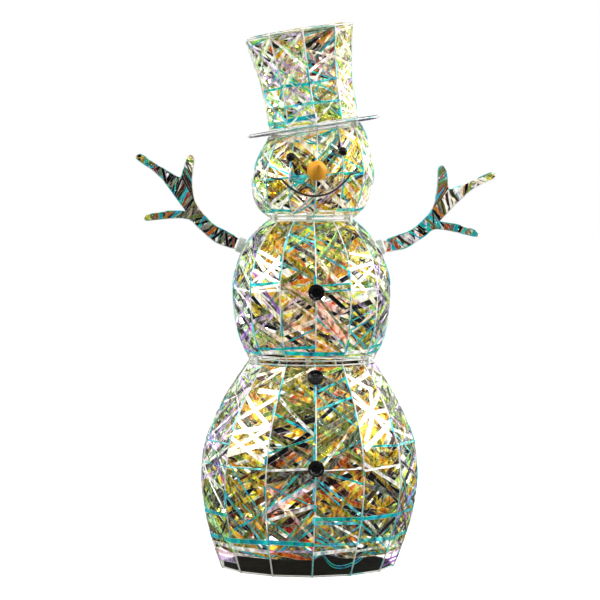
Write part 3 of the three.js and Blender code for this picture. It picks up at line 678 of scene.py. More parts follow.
def pick(rng, choice):
    return shade(rng, rng.choices(*choice)[0])


def covered(colours, cover):
    """The same colours with another share of cover."""
    tint, shine = colours
    return (*tint[:3], cover), shine


# ---------------------------------------------------------------- film windings


# The windings of the inner and the outer film: how far out they lie, how they slope, their share of gaps.
INNER = {"stand": 0.4, "slopes": (0.2, 1.1), "gap": 0.04}
OUTER = {"stand": 1.3, "slopes": (0.3, 1.3), "gap": 0.14}
BAND_STAND = 2.0
TAPE_STAND = 2.2
UPPER_FROM = 0.45  # the share of a wall's height where its upper colours start
FADED_HEIGHTS = (0.45, 0.9)
FADED_GAP = 0.45
TURN_CHANCE = 0.12
RIB_TAPE_SHARE = 0.6
RIB_TAPE_SCALE = 110  # the width of bay for which a rib tape's place and width are given
ANYWHERE = (0, 5000)  # where along the film's pattern a length of it starts


def strip(shape, wall, bay, s_from, s_to, width, stand, limits, colours, rng, crinkle):
    """One taut length of film across a bay, between its two ribs."""
    low, high = limits
    bay_width = wall.width((s_from + s_to) / 2)
    half = width / 2 * math.hypot(1.0, (s_to - s_from) / bay_width)
    length = math.hypot(bay_width, s_to - s_from)
    start = rng.uniform(*ANYWHERE)

    def spot(t, j):
        s = min(max(s_from + (s_to - s_from) * t + j * half, low), high)
        rise = rng.uniform(-crinkle, crinkle) if 0 < t < 1 else 0.0
        return wall.point(bay, t, s, stand + rise)

    shape.ribbon(6, spot, lambda t, j: (start + t * length, (j + 1) * width / 2), colours)


def winding(shape, wall, rng, limits, passes, chosen, widths, faded=(), *, stand, slopes, gap):
    """Continuous ribbons that go round and round the cage and turn back at its hoops."""
    low, high = limits
    kinds = KINDS[wall.bays]
    for number in range(passes):
        s = low + (high - low) * ((number + rng.random()) / passes)
        slope = rng.uniform(*slopes) * rng.choice((-1, 1))
        width = rng.uniform(*widths)
        for bay in range(wall.bays):
            ahead = s + slope * wall.width(s)
            if ahead > high or ahead < low:
                ahead = min(max(ahead, low), high)
                slope = -slope
            share = ((s + ahead) / 2 - low) / (high - low)
            thin = bay in faded and FADED_HEIGHTS[0] < share < FADED_HEIGHTS[1]
            if rng.random() >= gap + (FADED_GAP if thin else 0.0):
                choice = chosen[kinds[bay]][share + rng.uniform(-0.12, 0.12) > UPPER_FROM]
                name = rng.choices(*choice)[0]
                height = stand + rng.uniform(-0.3, 0.3)
                strip(shape, wall, bay, s, ahead, width * NARROW.get(name, 1.0), height, limits,
                      shade(rng, name), rng, CRINKLE[kinds[bay]])
            s = ahead
            if rng.random() < TURN_CHANCE:
                slope = rng.uniform(*slopes) * (1 if slope > 0 else -1)


def band(shape, wall, bay, start, end, width, colours, rng, stand):
    """A taut length of film between two (share of the bay, height) places in one bay."""
    (share0, z0), (share1, z1) = start, end
    s0, s1 = wall.s_at(z0), wall.s_at(z1)
    across = wall.width((s0 + s1) / 2)
    run, rise = (share1 - share0) * across, s1 - s0
    far = math.hypot(run, rise)
    side = (-rise / far / across, run / far)
    shift = rng.uniform(*ANYWHERE)

    def spot(t, j):
        share = share0 + (share1 - share0) * t + side[0] * j * width / 2
        s = s0 + rise * t + side[1] * j * width / 2
        return wall.point(bay, min(0.99, max(0.01, share)), s, stand + rng.uniform(-0.15, 0.15))

    shape.ribbon(6, spot, lambda t, j: (shift + far * t, (j + 1) * width / 2), colours)


def painted_highlight_bands(shape, wall, bay, lines, rng, width=(11, 15)):
    """Bold cream lengths in one bay: painted highlights where the film catches the light."""
    palette = weights("cream 3 white 1")
    for number, (start, end) in enumerate(lines):
        colours = covered(pick(rng, palette), 0.97)
        band(shape, wall, bay, start, end, rng.uniform(*width), colours, rng, BAND_STAND + 0.12 * number)


def rib_tape(shape, wall, rng, bay, s, end, colours):
    """A narrow length of film along a rib, beside it or on it."""
    side = rng.choice((-0.045, -0.024, 0.0, 0.022, 0.045))
    wide = rng.uniform(0.01, 0.034)

    def spot(t, j):
        here = s + (end - s) * t
        lift = 3.6 - 0.8 * abs(j) + rng.uniform(-0.2, 0.2)
        where = bay + (side + j * wide) * RIB_TAPE_SCALE / wall.width(here)
        whole = math.floor(where)
        return wall.point(whole, where - whole, here, lift)

    shape.ribbon(max(2, int((end - s) / 14)), spot, lambda t, j: (s + (end - s) * t, j * 5.0 + 5.0), colours)


def rib_tapes(shape, wall, rng, limits):
    """Narrow lengths of film that lie along the ribs and catch the light."""
    low, high = limits
    palette = weights("teal 6 cyan 2 white 1.2 lilac 0.6")
    for bay in range(wall.bays):
        s = low + rng.uniform(0, 30)
        while s < high - 10:
            end = min(high, s + rng.uniform(10, 60))
            if rng.random() < RIB_TAPE_SHARE:
                rib_tape(shape, wall, rng, bay, s, end, covered(pick(rng, palette), 0.85))
            s = end + rng.uniform(0, 25)


def hoop_tape(shape, wall, rng, s, share, width, colours, bays=None):
    """Film drawn level round the cage, in a share of its bays."""
    palette = weights(colours)
    for bay in bays or range(wall.bays):
        if rng.random() < share:
            start, end = s + rng.uniform(-5, 5), s + rng.uniform(-5, 5)
            strip(shape, wall, bay, start, end, width * rng.uniform(0.6, 1.2), TAPE_STAND, (0, wall.length),
                  pick(rng, palette), rng, 0.9)


def level_tapes(shape, wall, rng, tapes):
    """Level film by height: (height, share of the bays, width, colours, and the bays if not all)."""
    for height, *tape in tapes:
        hoop_tape(shape, wall, rng, wall.s_at(height), *tape)


def wrap_section(name, low_gap, passes, seed, widths, faded=()):
    """Both layers of a section's film, with the wall and the random numbers for what is added."""
    wall = WALLS[name]
    rng = Random(seed)
    limits = (low_gap, wall.length - 6)
    outside, inside = Shape(), Shape()
    winding(inside, wall, rng, limits, passes[0], palettes(name, 0), widths[0], **INNER)
    winding(outside, wall, rng, limits, passes[1], palettes(name, 1), widths[1], faded, **OUTER)
    rib_tapes(outside, wall, rng, limits)
    return outside, inside, wall, rng


def film_pieces(name, outside, inside, replaced):
    piece(f"{name}_film", outside, FILM, name, [replaced], smooth=False)
    piece(f"{name}_film_inner", inside, FILM, name, smooth=False)


# ---------------------------------------------------------------- wire cages


def ribs(shape, wall, overlap_low, overlap_high):
    """The upright wires, each drawn out at its ends to overlap the hoops."""
    count = 30
    for bay in range(wall.bays):
        points = [wall.rib(bay, wall.length * i / count) for i in range(count + 1)]
        down = (points[0] - points[1]).normalized()
        up = (points[-1] - points[-2]).normalized()
        points[0] = points[0] + down * overlap_low
        points[-1] = points[-1] + up * overlap_high
        tube(shape, points, WIRE, move=wall.place)


def hoop(shape, radius, height, bays, place):
    """A ring bent at each rib, with a small radius at each bend."""
    corners = [around(rib_angle(k, bays), radius, height) for k in range(bays)]
    points = []
    for k, corner in enumerate(corners):
        before = (corners[k - 1] - corner).normalized()
        after = (corners[(k + 1) % bays] - corner).normalized()
        for way, far in ((before, 7.0), (before, 2.0), (after, 2.0), (after, 7.0)):
            points.append(corner + way * far)
    tube(shape, points, WIRE, closed=True, move=place)


def bead(shape, spot, radius=3.3):
    """A blob of weld metal."""
    side = [(radius * math.cos(a), radius * math.sin(a)) for a in (-0.9, -0.3, 0.3, 0.9)]
    lathe(shape, [(0, -radius), *side, (0, radius)], 8, Matrix.Translation(spot))


WELD_INSET = 1.6


def cage(name, levels, overlaps=(3.0, 3.0)):
    """A section's ribs, with a welded hoop at some of its profile's points."""
    wall = WALLS[name]
    shape = Shape()
    ribs(shape, wall, *overlaps)
    for radius, height in (wall.profile[level] for level in levels):
        hoop(shape, radius - HOOP_INSET, height, wall.bays, wall.place)
        for bay in range(wall.bays):
            bead(shape, wall.place(around(rib_angle(bay, wall.bays), radius - WELD_INSET, height)))
    return shape


def shoulder_axis(shoulder):
    return Vector((shoulder["side"] * math.cos(shoulder["angle"]), 0, math.sin(shoulder["angle"])))


def shoulder_point(shoulder, inward):
    return shoulder["root"] - shoulder_axis(shoulder) * inward


def add_brackets(shape):
    """The spigots that the sleeves slide on, held by two wires each."""
    wall = WALLS["torso"]
    for shoulder in SHOULDERS.values():
        knot = shoulder_point(shoulder, 46)
        tip = shoulder_point(shoulder, 17)
        tube(shape, [knot, knot.lerp(tip, 0.5), tip], 4.8, 16)
        s = wall.s_at(tip.z)
        for step in (-0.5, 0.5):
            tube(shape, [knot, wall.rib(shoulder["side"] * (BAYS / 4 + step), s)], WIRE)
        bead(shape, knot, 6.0)


# ---------------------------------------------------------------- lamps


def lamp(glow, husk, spot, direction, size):
    """A small bulb in its holder, which hangs on the cord."""
    matrix = Matrix.Translation(spot) @ rotation_to(direction)
    lathe(husk, [(0, -5), (2.2, -5), (2.6, -3.5), (2.6, 2.2), (2.2, 3.0), (0, 3.0)], 8, matrix)
    bulb = [(0, 3.0), (1.9 * size, 3.4), (2.3 * size, 6.0), (2.1 * size, 9.0), (1.2 * size, 11.2), (0, 12.0)]
    lathe(glow, bulb, 8, matrix)


def light_string(name, climb, lead, tail, pitch, seed):
    """A section's lamp cord: its lead, a climb inside the ribs, its tail, and lamps on the climb.

    climb is (lowest height, highest height, first bay, number of bays it passes).
    """
    low, high, first, count = climb
    wall = WALLS[name]
    points = []
    for step in range(count + 1):
        s = wall.s_at(low + (high - low) * step / count)
        points.append(wall.place(wall.rib(first + step, s, -STRING_INSET)))
    rng = Random(seed)
    line = catmull([*lead, *points, *tail], 6)
    cord, glow = Shape(), Shape()
    tube(cord, line, STRING_RADIUS, 7)
    travelled, due = 0.0, pitch
    lowest, highest = len(lead) * 6, len(line) - len(tail) * 6
    for i in range(1, len(line)):
        step = line[i] - line[i - 1]
        travelled += step.length
        if travelled >= due and lowest < i < highest:
            due = travelled + pitch * rng.uniform(0.85, 1.15)
            inward = Vector((-line[i].x, -line[i].y, 0)).normalized()
            way = inward * rng.uniform(-0.2, 1.0) + Vector((0, 0, rng.uniform(-1, 1)))
            way += step.normalized() * 0.6
            lamp(glow, cord, line[i] + way.normalized() * 4.0, way, rng.uniform(0.9, 1.25))
    piece(f"{name}_light_string", cord, CORD, name, [f"{name}_light_string"])
    piece(f"{name}_lamps", glow, LAMP, name)


# ---------------------------------------------------------------- sections

SIDE_BAYS = range(2, 12)
SHADE_BAND_STAND = 0.9  # the black bands of painted shade lie on the inner film

# Base
piece("base_wires", cage("base", (0, 4, -1), (0.0, 3.0)), WIRES, "base", ["base_cage"])
outside, inside, wall, rng = wrap_section("base", 52, (50, 56), 11, ((11, 20), (7, 15)), (1, 12))
LEFT_CROSSES = [
    ((0.3, 503), (1, 500)), ((0, 486), (1, 408)), ((0, 424), (1, 490)), ((0, 388), (1, 414)),
    ((0, 426), (1, 352)), ((0, 340), (1, 412)), ((0, 376), (1, 316)), ((0, 330), (1, 372)),
]
RIGHT_STAR = [
    ((0, 519), (1, 548)), ((0, 478), (1, 404)), ((0, 414), (1, 494)), ((0.52, 446), (0.12, 372)),
    ((0.5, 446), (0.74, 512)), ((0.52, 444), (0.98, 448)), ((0.5, 446), (0.86, 378)), ((0, 500), (0.52, 446)),
    ((0.05, 350), (1, 418)), ((0, 545), (0.8, 500)),
]
# Painted highlights: bold cream bands in the light bays either side of the front.
painted_highlight_bands(outside, wall, 12, LEFT_CROSSES, rng)
painted_highlight_bands(outside, wall, 1, RIGHT_STAR, rng)
level_tapes(outside, wall, rng, [
    (300, 0.8, 6, "teal 3 white 3 cyan 1"),
    (356, 0.7, 5, "teal 4 white 1"),
    (162, 0.75, 10, "teal 5 cyan 1 smoke 1"),
    (152, 0.5, 8, "cyan 2 smoke 2 teal 1"),
    (98, 0.8, 13, "teal 5 cyan 2 pink 1 smoke 1.5"),
    (74, 0.9, 10, "white 4 pink 1.4 lilac 1 cyan 1"),
])
# The slack loop of film at the foot: (degrees, radius, height).
SLACK = [
    (3, 276, 92), (6, 276, 60), (11, 270, 34), (17, 266, 27), (24, 268, 34), (30, 274, 52), (33, 279, 78),
]
loop = [canted(around(math.radians(angle), radius, height)) for angle, radius, height in SLACK]
for rise in (0.0, 7.0):
    rows, uvs = [], []
    for k, spot in enumerate(catmull(loop, 6)):
        lift = Vector((0, -rise * 0.3, rise))
        rows.append([spot + lift + Vector((0, 0, w)) for w in (-1.2, 0, 1.2)])
        uvs.extend([(k * 6 + rise, w) for w in (0, 1.2, 2.4)])
    outside.add_film(rows, uvs, *shade(rng, "teal"))
FOOT = "white 3 lilac 2 pink 1.4 purple 1 teal 1"
level_tapes(outside, wall, rng, [(50, 0.9, 14, FOOT, SIDE_BAYS), (36, 0.8, 14, FOOT, SIDE_BAYS),
                                 (22, 0.6, 14, FOOT, SIDE_BAYS)])
film_pieces("base", outside, inside, "base_film_wrap")

# Torso
shape = cage("torso", (0, 3, -1))
add_brackets(shape)
piece("torso_wires", shape, WIRES, "torso", ["torso_cage"])
outside, inside, wall, rng = wrap_section("torso", 12, (36, 40), 23, ((11, 18), (6, 14)), (1, 12))
LEFT_RAYS = [
    ((0, 798), (1, 856)), ((0, 834), (1, 800)), ((0.2, 788), (0.9, 872)), ((0.05, 862), (1, 836)),
    ((0, 780), (1, 796)),
]
RIGHT_RAYS = [((0, 858), (1, 812)), ((0, 784), (1, 846)), ((0, 836), (1, 852)), ((0.1, 880), (1, 868))]
# Painted highlights: bold cream bands in the light bays either side of the front.
painted_highlight_bands(outside, wall, 12, LEFT_RAYS, rng, (7, 12))
painted_highlight_bands(outside, wall, 1, RIGHT_RAYS, rng, (7, 12))
level_tapes(outside, wall, rng, [
    (606, 0.95, 13, "teal 6 cyan 2 white 0.6"),
    (622, 0.5, 9, "teal 4 cyan 2 lilac 2 purple 1"),
    (779, 0.8, 6, "white 4 teal 2"),
    (796, 0.6, 8, "teal 4 white 1", (0, 12, 13)),
])
film_pieces("torso", outside, inside, "torso_film_wrap")

# Head
piece("head_wires", cage("head", (0, 3, -1)), WIRES, "head", ["head_cage"])
outside, inside, wall, rng = wrap_section("head", 12, (27, 34), 37, ((9, 16), (6, 12)))
# Black bands on the inner film beside the left eye and under the nose: painted shade, and the nose's painted
# shadow.
for bay, start, end, width in (
    (13, (0.2, 1132), (0.36, 1088), 19), (13, (0.62, 1068), (1, 1066), 20),
    (0, (0, 1066), (0.5, 1070), 22), (0, (0.1, 1052), (0.36, 1056), 12),
):
    band(inside, wall, bay, start, end, width, shade(rng, "black"), rng, SHADE_BAND_STAND)
level_tapes(outside, wall, rng, [
    (998, 0.9, 11, "teal 5 cyan 2 white 1"),
    (1091, 0.9, 7, "teal 6 cyan 2 white 1", (0, 1, 12, 13)),
])
film_pieces("head", outside, inside, "head_film_wrap")

# Hat
shape = cage("hat", (1, -1), (0.0, 0.0))
hoop(shape, SEAT_RADIUS, HOOP_PITCH, BAYS, on_hat)
hoop(shape, BRIM_RADIUS, HOOP_PITCH, BRIM_BAYS, on_hat)
for bay in range(HAT_BAYS):
    angle = rib_angle(bay, HAT_BAYS)
    spoke = [around(angle, radius, HOOP_PITCH) for radius in (CROWN_PROFILE[0][0], BRIM_RADIUS)]
    tube(shape, spoke, WIRE, move=on_hat)
    bead(shape, on_hat(around(angle, BRIM_RADIUS - 1, HOOP_PITCH)))
piece("hat_wires", shape, WIRES, "hat", ["hat_cage"])
outside, inside, wall, rng = wrap_section("hat", 10, (30, 42), 53, ((9, 17), (6, 12)))
# Black and brown bands on the inner film at the hat's front: painted shade of its inside.
for bay, start, end, width in (
    (0, (0.02, 196), (0.5, 232), 18), (0, (0.05, 176), (0.7, 200), 16), (9, (0.55, 214), (1, 206), 20),
    (0, (0.1, 150), (0.6, 158), 14), (9, (0.7, 258), (1, 262), 12),
):
    band(inside, wall, bay, start, end, width, shade(rng, rng.choice(("black", "brown"))), rng, SHADE_BAND_STAND)
hoop_tape(outside, wall, rng, 24, 0.6, 12, "teal 3 cyan 2 white 3")
level_tapes(outside, wall, rng, [
    (128, 0.9, 9, "teal 5 cyan 2", (0, 8, 9)),
    (72, 0.8, 10, "teal 4 cyan 2 smoke 2", (0, 8, 9)),
])
film_pieces("hat", outside, inside, "crown_film_wrap")

BRIM_COLOURS = weights("lilac 3 smoke 5 purple 1.4 cyan 0.6 brown 1.6 black 0.8 teal 0.5")
BRIM_INNER = 136
BRIM_STRIPS = 84
BRIM_STRIP_WIDTH = 20
TOP_COLOURS = weights("smoke 3 clear 2 gold 1.5 lilac 1 teal 1 olive 1 cream 1")
TOP_STRIPS = 34
TOP_REACH = 147


def held(flat, reach):
    """A point of a disc, drawn in to its edge if it is past it."""
    return flat.normalized() * reach if flat.length > reach else flat


def brim_strips(rng, height):
    """Lengths of film drawn from the crown to the edge of the brim."""
    shape = Shape()
    reach = BRIM_RADIUS * math.cos(math.pi / BRIM_BAYS)
    for i in range(BRIM_STRIPS):
        a = 2 * math.pi * (i + rng.random()) / BRIM_STRIPS
        start = Vector((math.sin(a), -math.cos(a))) * BRIM_INNER
        b = a + rng.uniform(-0.55, 0.55)
        end = Vector((math.sin(b), -math.cos(b))) * reach
        across = (end - start).normalized().orthogonal() * BRIM_STRIP_WIDTH * rng.uniform(0.6, 1.2) / 2
        colours = pick(rng, BRIM_COLOURS)
        shift = rng.uniform(*ANYWHERE)

        def spot(t, j):
            flat = held(start.lerp(end, t) + across * j, reach)
            return on_hat(Vector((flat.x, flat.y, height + rng.uniform(-0.7, 0.7))))

        def mark(t, j):
            return shift + t * (BRIM_RADIUS - BRIM_INNER), (j + 1) * BRIM_STRIP_WIDTH / 2

        shape.ribbon(5, spot, mark, colours)
    return shape


def top_strips(rng):
    """Lengths of film drawn from side to side over the crown's top."""
    shape = Shape()
    for i in range(TOP_STRIPS):
        a = rng.uniform(0, 2 * math.pi)
        off = rng.uniform(-130, 130)
        half = math.sqrt(max(TOP_REACH ** 2 - off ** 2, 400.0))
        way, side = Vector((math.cos(a), math.sin(a))), Vector((-math.sin(a), math.cos(a)))
        width = rng.uniform(16, 26)
        colours = pick(rng, TOP_COLOURS)
        shift = rng.uniform(*ANYWHERE)
        height = CROWN_PROFILE[-1][1] + 4.4 + rng.uniform(-0.6, 0.6)

        def spot(t, j):
            flat = held(side * (off + j * width / 2) + way * (half * (2 * t - 1)), TOP_REACH)
            return on_hat(Vector((flat.x, flat.y, height + rng.uniform(-0.6, 0.6))))

        shape.ribbon(8, spot, lambda t, j: (shift + half * (2 * t - 1), (j + 1) * width / 2), colours)
    return shape


for name, height, seed in (("top", 16.0, 61), ("under", 8.0, 67)):
    shape = brim_strips(Random(seed), height)
    piece(f"brim_{name}", shape, BRIM, "hat", [f"brim_film_{name}"], smooth=False)
piece("hat_top", top_strips(Random(71)), FILM, "hat", ["crown_top_film"], smooth=False)

# Light strings. Each ends at the axis of a connector, just inside the back of a hoop.
CONNECTOR_INSET = 34
SOCKET_END = -22.4
PLUG_END = 18.4
INLET_HEIGHT = 13.4
CONNECTORS = {
    "waist": (Matrix.Translation((0, TORSO_PROFILE[0][0] - HOOP_INSET - CONNECTOR_INSET,
                                  BASE_PROFILE[-1][1] + HOOP_PITCH / 2)), "base", "torso"),
    "neck": (Matrix.Translation((0, HEAD_PROFILE[0][0] - HOOP_INSET - CONNECTOR_INSET,
                                 HEAD_BOTTOM - HOOP_PITCH / 2)), "torso", "head"),
    "hat": (HAT @ Matrix.Translation((0, 98, HOOP_PITCH / 2)), "head", "hat"),
}


def over(name, *heights):
    """Points on a connector's axis, that far above its middle."""
    return [CONNECTORS[name][0] @ Vector((0, 0, height)) for height in heights]


INLET_LEAD = ((191.6, 0), (178, 4), (194, 40))
inlet = [canted(Vector((0, y, INLET_HEIGHT))) + Vector((0, 0, up)) for y, up in INLET_LEAD]
light_string("base", (90, 520, 7, 28), inlet, over("waist", -46, SOCKET_END), 62, 81)
light_string("torso", (640, 850, 7, 14), over("waist", PLUG_END, 38), over("neck", -42, SOCKET_END), 52, 83)
light_string("head", (1030, 1170, 7, 14), over("neck", PLUG_END, 32), over("hat", -38, SOCKET_END), 50, 85)
light_string("hat", (60, 240, 5, 20), over("hat", PLUG_END, 32), [], 60, 87)

# ---------------------------------------------------------------- face and buttons


EYE_HEIGHT = 1149
NOSE_HEIGHT = 1104
FACE_STAND = 5.6  # how far the flat backs stand off the ribs' middles
HOLES = [(x, y) for y in (-4.4, 4.4) for x in (-4.4, 4.4)]


def on_rib(section, bay, height):
    """A frame on the ridge over a rib, with Z square to the slope, as the part has it."""
    wall = WALLS[section]
    radius, slope = on_profile(wall.profile, height)
    angle = rib_angle(bay)
    lean = math.atan(-slope)
    out, up = FACE_STAND * math.cos(lean), FACE_STAND * math.sin(lean)
    spot = wall.place(around(angle, radius + out, height + up))
    turned = Matrix.Translation(spot) @ Matrix.Rotation(angle, 4, "Z")
    return turned @ Matrix.Rotation(math.pi / 2 - lean, 4, "X")


def button(matrix):
    """A disc with a rounded rim, a dished face and four holes with raised edges."""
    shape = Shape()
    outline = [
        (0, 0), (20.5, 0), (21.6, 0.5), (22.25, 1.6), (22.25, 6.6), (21.8, 7.9), (20.8, 8.8), (19.8, 8.9),
        (18.8, 8.7), (17.8, 8.3), (16.8, 7.7), (15.8, 6.9), (14.8, 6.1), (13.8, 5.4), (12.8, 4.9),
        (11.8, 4.65),
    ]
    outline += [(11.8 - 0.45 * i, 4.6) for i in range(1, 26)] + [(0, 4.6)]

    def pits(radius, height, angle):
        x, y = radius * math.cos(angle), radius * math.sin(angle)
        if radius < 11.5 and height > 4:
            for cx, cy in HOLES:
                far = math.hypot(x - cx, y - cy)
                height -= 3.6 * min(1.0, max(0.0, (2.5 - far) / 0.5))
                height += 0.5 * math.exp(-((far - 2.9) / 0.4) ** 2)
        return radius, height

    lathe(shape, outline, 96, matrix, pits)
    return shape


for level, body, height in (("upper", "torso", 777), ("middle", "base", 538), ("lower", "base", 303)):
    shape = button(on_rib(body, 0, height))
    piece(f"{level}_button_disc", shape, BLACK, body, [f"{level}_button"])

for name, bay in (("left", -1), ("right", 1)):
    shape = Shape()
    outline = [(0, 0), (12.5, 0), (12.5, 1.4), (11.9, 2.2)]
    for step in range(10):
        a = step * math.pi / 20
        outline.append((11.6 * math.cos(a), 2.4 + 9.1 * math.sin(a)))
    outline += [(0, 11.5)]
    lathe(shape, outline, 40, on_rib("head", bay, EYE_HEIGHT))
    piece(f"{name}_eye_dome", shape, BLACK, "head", [f"{name}_eye"])

shape = Shape()
outline = [(0, 0), (22.5, 0), (24.6, 1.5), (25.5, 5)]
outline += [(25.5 * (1 - (k / 40) ** 1.35) + 2 * (1 - (k / 40) ** 8), 5 + 99 * k / 40) for k in range(1, 40)]
outline += [(0, 105)]


def carrot_skin(radius, height, angle):
    """Five low ridges along the carrot, and dents here and there."""
    wave = math.sin(angle * 3 + height * 0.21) * math.sin(height * 0.63 + angle)
    dent = max(0.0, wave - 0.55) * 2.2
    return radius * (1 + 0.012 * math.sin(5 * angle + height * 0.05)) - dent * min(1.0, radius / 10), height


lathe(shape, outline, 48, on_rib("head", 0, NOSE_HEIGHT), carrot_skin)
piece("carrot", shape, ORANGE, "head", ["carrot_nose"])

SMILE_HALF = 120
SMILE_BEND = 95  # past this the ends flick up
SMILE_BOTTOM = 1037
SMILE_RISE = 52
SMILE_STAND = 8.6
SMILE_STEPS = 24


def smile_points():
    points = []
    for i in range(-SMILE_STEPS, SMILE_STEPS + 1):
        across = i * SMILE_HALF / SMILE_STEPS
        curved = min(abs(across), SMILE_BEND) / SMILE_BEND
        flick = max(0.0, abs(across) - SMILE_BEND) / (SMILE_HALF - SMILE_BEND)
        height = SMILE_BOTTOM + SMILE_RISE * curved ** 2.2 + 5 * flick
        radius, slope = on_profile(HEAD_PROFILE, height)
        radius += SMILE_STAND * math.hypot(1, slope)
        points.append(leaned(Vector((across, -math.sqrt(radius ** 2 - across ** 2), height))))
    return points


shape = Shape()
tube(shape, smile_points(), 2.9, 12)
piece("smile", shape, BLACK_WIRE, "head", ["smile_wire"])

# ---------------------------------------------------------------- shoulders and arms


def branch_edge(order):
    """Part of the outline as a smooth line, by the numbers of its points."""
    return catmull([Vector((BRANCH[i][0], 0, BRANCH[i][1])) for i in order], 6)


def along(line, share):
    """The place on a line at a share of its length."""
    marks = [0.0]
    for a, b in zip(line, line[1:]):
        marks.append(marks[-1] + (b - a).length)
    goal = share * marks[-1]
    for i in range(len(line) - 1):
        if marks[i + 1] >= goal:
            return line[i].lerp(line[i + 1], (goal - marks[i]) / max(marks[i + 1] - marks[i], 1e-9))
    return line[-1]


ARM_COLOURS = {
    "left": weights("black 5 brown 3 olive 2 rust 1 smoke 1.4 teal 1 white 0.8 clear 0.8 amber 0.5"),
    "right": weights("black 3 brown 2.4 cream 1.6 white 1.6 rust 1.4 olive 1.6 amber 1 pink 0.9 teal 1 "
                     "smoke 1.2"),
}
ARM_EDGES = weights("teal 4 cyan 1.5 white 1.6 lilac 0.6")
TIP_COLOURS = weights("olive 3 gold 2 brown 1.5 black 1 lime 1.4 tan 1")
LIMBS = [
    # (upper edge, lower edge, number of strips)
    ((1, 2, 3, 4, 5), (39, 38, 37, 36, 35, 34, 33), 20),
    ((5, 13), (25, 24, 23), 8),
    ((5, 6, 7, 8, 9), (13, 12, 11, 10), 13),
    ((13, 14, 15, 16, 17), (23, 22, 21, 20, 19, 18), 15),
    ((25, 26, 27, 28, 29), (33, 32, 31, 30), 11),
    ((5, 25), (34, 33), 4),
]


TIP_LIMBS = (2, 3, 4)
TIP_FROM = 0.75
EDGE_SHARE = 0.14
ARM_FILM_STAND = 3.2
ARM_LAYER_STEP = 0.6
ARM_EDGE_STAND = 3.3
CROSS_WIRES = [((158, 67), (178, 8)), ((190, 128), (218, 128)), ((217, 112), (217, 63))]
HUB = [
    (0, -14.4), (17.6, -14.4), (18.6, -13.4), (18.6, -11), (17.9, -10.6), (17.9, -4.4), (18.6, -4),
    (18.6, -1.4), (17.6, -0.4), (0, -0.4),
]
SLEEVE = [
    (5.4, -33), (10.2, -33), (11, -32.2), (11, -20), (11.8, -18.4), (19.6, -17.4), (21, -16.2), (21, -1.6),
    (21.6, -1.2), (21.6, 0), (19.6, 0.2), (19.4, -0.6), (19.4, -16), (5.4, -16), (5.4, -33),
]


def arm_film(shape, rng, face, matrix, colours):
    """Two layers of film across each limb of the branch, on one face."""
    for limb, (upper, lower, count) in enumerate(LIMBS):
        top, bottom = branch_edge(upper), branch_edge(lower)
        for layer, cover in ((0, 1.0), (1, 0.8)):
            for i in range(count):
                middle = (i + rng.uniform(0.1, 0.9)) / count
                skew = rng.uniform(0.03, 0.16) * rng.choice((-1, 1))
                wide = rng.uniform(0.5, 0.95) / count * 1.6
                palette = TIP_COLOURS if middle > TIP_FROM and limb in TIP_LIMBS else colours
                tint, shine = pick(rng, ARM_EDGES if rng.random() < EDGE_SHARE else palette)
                stand = face * (ARM_FILM_STAND + ARM_LAYER_STEP * layer + rng.uniform(0, 0.3))

                def spot(t, j):
                    share = min(1.0, max(0.0, middle + skew * (t - 0.5) + wide * j / 2))
                    flat = along(top, share).lerp(along(bottom, share), t)
                    return matrix @ Vector((flat.x, stand + rng.uniform(-0.25, 0.25), flat.z))

                thicker = (*tint[:3], min(1.0, tint[3] + 0.25) * cover)
                shape.ribbon(4, spot, lambda t, j: (t * 40 + i * 50, (j + 1) * 6), (thicker, shine))


def edge_tape(shape, rng, line, face, matrix):
    """Narrow bright lengths of film over the outline wire."""
    t = 0.02
    while t < 0.98:
        length = rng.uniform(0.02, 0.07)
        if rng.random() < 0.55:
            colours = covered(pick(rng, ARM_EDGES), 0.9)
            rows, uvs = [], []
            for k in range(5):
                share = min(1.0, t + length * k / 4)
                spot, ahead = along(line, share), along(line, min(1.0, share + 0.004))
                if (ahead - spot).length < 1e-6:
                    continue
                side = (ahead - spot).normalized().cross(Vector((0, 1, 0)))
                out = Vector((0, face * ARM_EDGE_STAND, 0))
                rows.append([matrix @ (spot + side * w + out) for w in (-2.6, 0, 2.6)])
                uvs.extend([(share * 900, w) for w in (0, 3, 6)])
            if len(rows) > 1:
                shape.add_film(rows, uvs, *colours)
        t += length + rng.uniform(0.0, 0.03)


def build_arm(name, seed):
    """One arm with its hub, its film and the sleeve that holds it."""
    shoulder = SHOULDERS[name]
    matrix = arm_matrix(name)
    rng = Random(seed)

    def move(point):
        return matrix @ point

    outline = catmull([Vector((x, 0, z)) for x, z in BRANCH], 6)
    shape = Shape()
    tube(shape, outline, WIRE, move=move)
    for ends in CROSS_WIRES:
        tube(shape, [Vector((x, 0, z)) for x, z in ends], WIRE * 0.9, move=move)
    lathe(shape, HUB, 40, matrix @ Matrix.Rotation(math.pi / 2, 4, "Y"))
    turns = [a * math.pi / 8 for a in range(16)]
    ring = [Vector((16 + 8 * math.cos(turn), -3.4, 8 * math.sin(turn))) for turn in turns]
    tube(shape, ring, 1.2, 6, closed=True, move=move)
    piece(f"{name}_arm_wires", shape, WIRES, f"{name}_arm", [f"{name}_arm_frame"])
    # The arm's own Y points to the back on the right arm and to the front on the left one.
    for label, face in (("front", -shoulder["side"]), ("back", shoulder["side"])):
        shape = Shape()
        arm_film(shape, rng, face, matrix, ARM_COLOURS[name])
        edge_tape(shape, rng, outline, face, matrix)
        replaced = [f"{name}_arm_film_{label}"]
        piece(f"{name}_arm_wrap_{label}", shape, ARM, f"{name}_arm", replaced, smooth=False)
    shape = Shape()
    axis = rotation_to(shoulder_axis(shoulder))
    lathe(shape, SLEEVE, 48, Matrix.Translation(shoulder["root"]) @ axis)
    piece(f"{name}_sleeve_cup", shape, CLEAR, f"{name}_socket", [f"{name}_sleeve"])


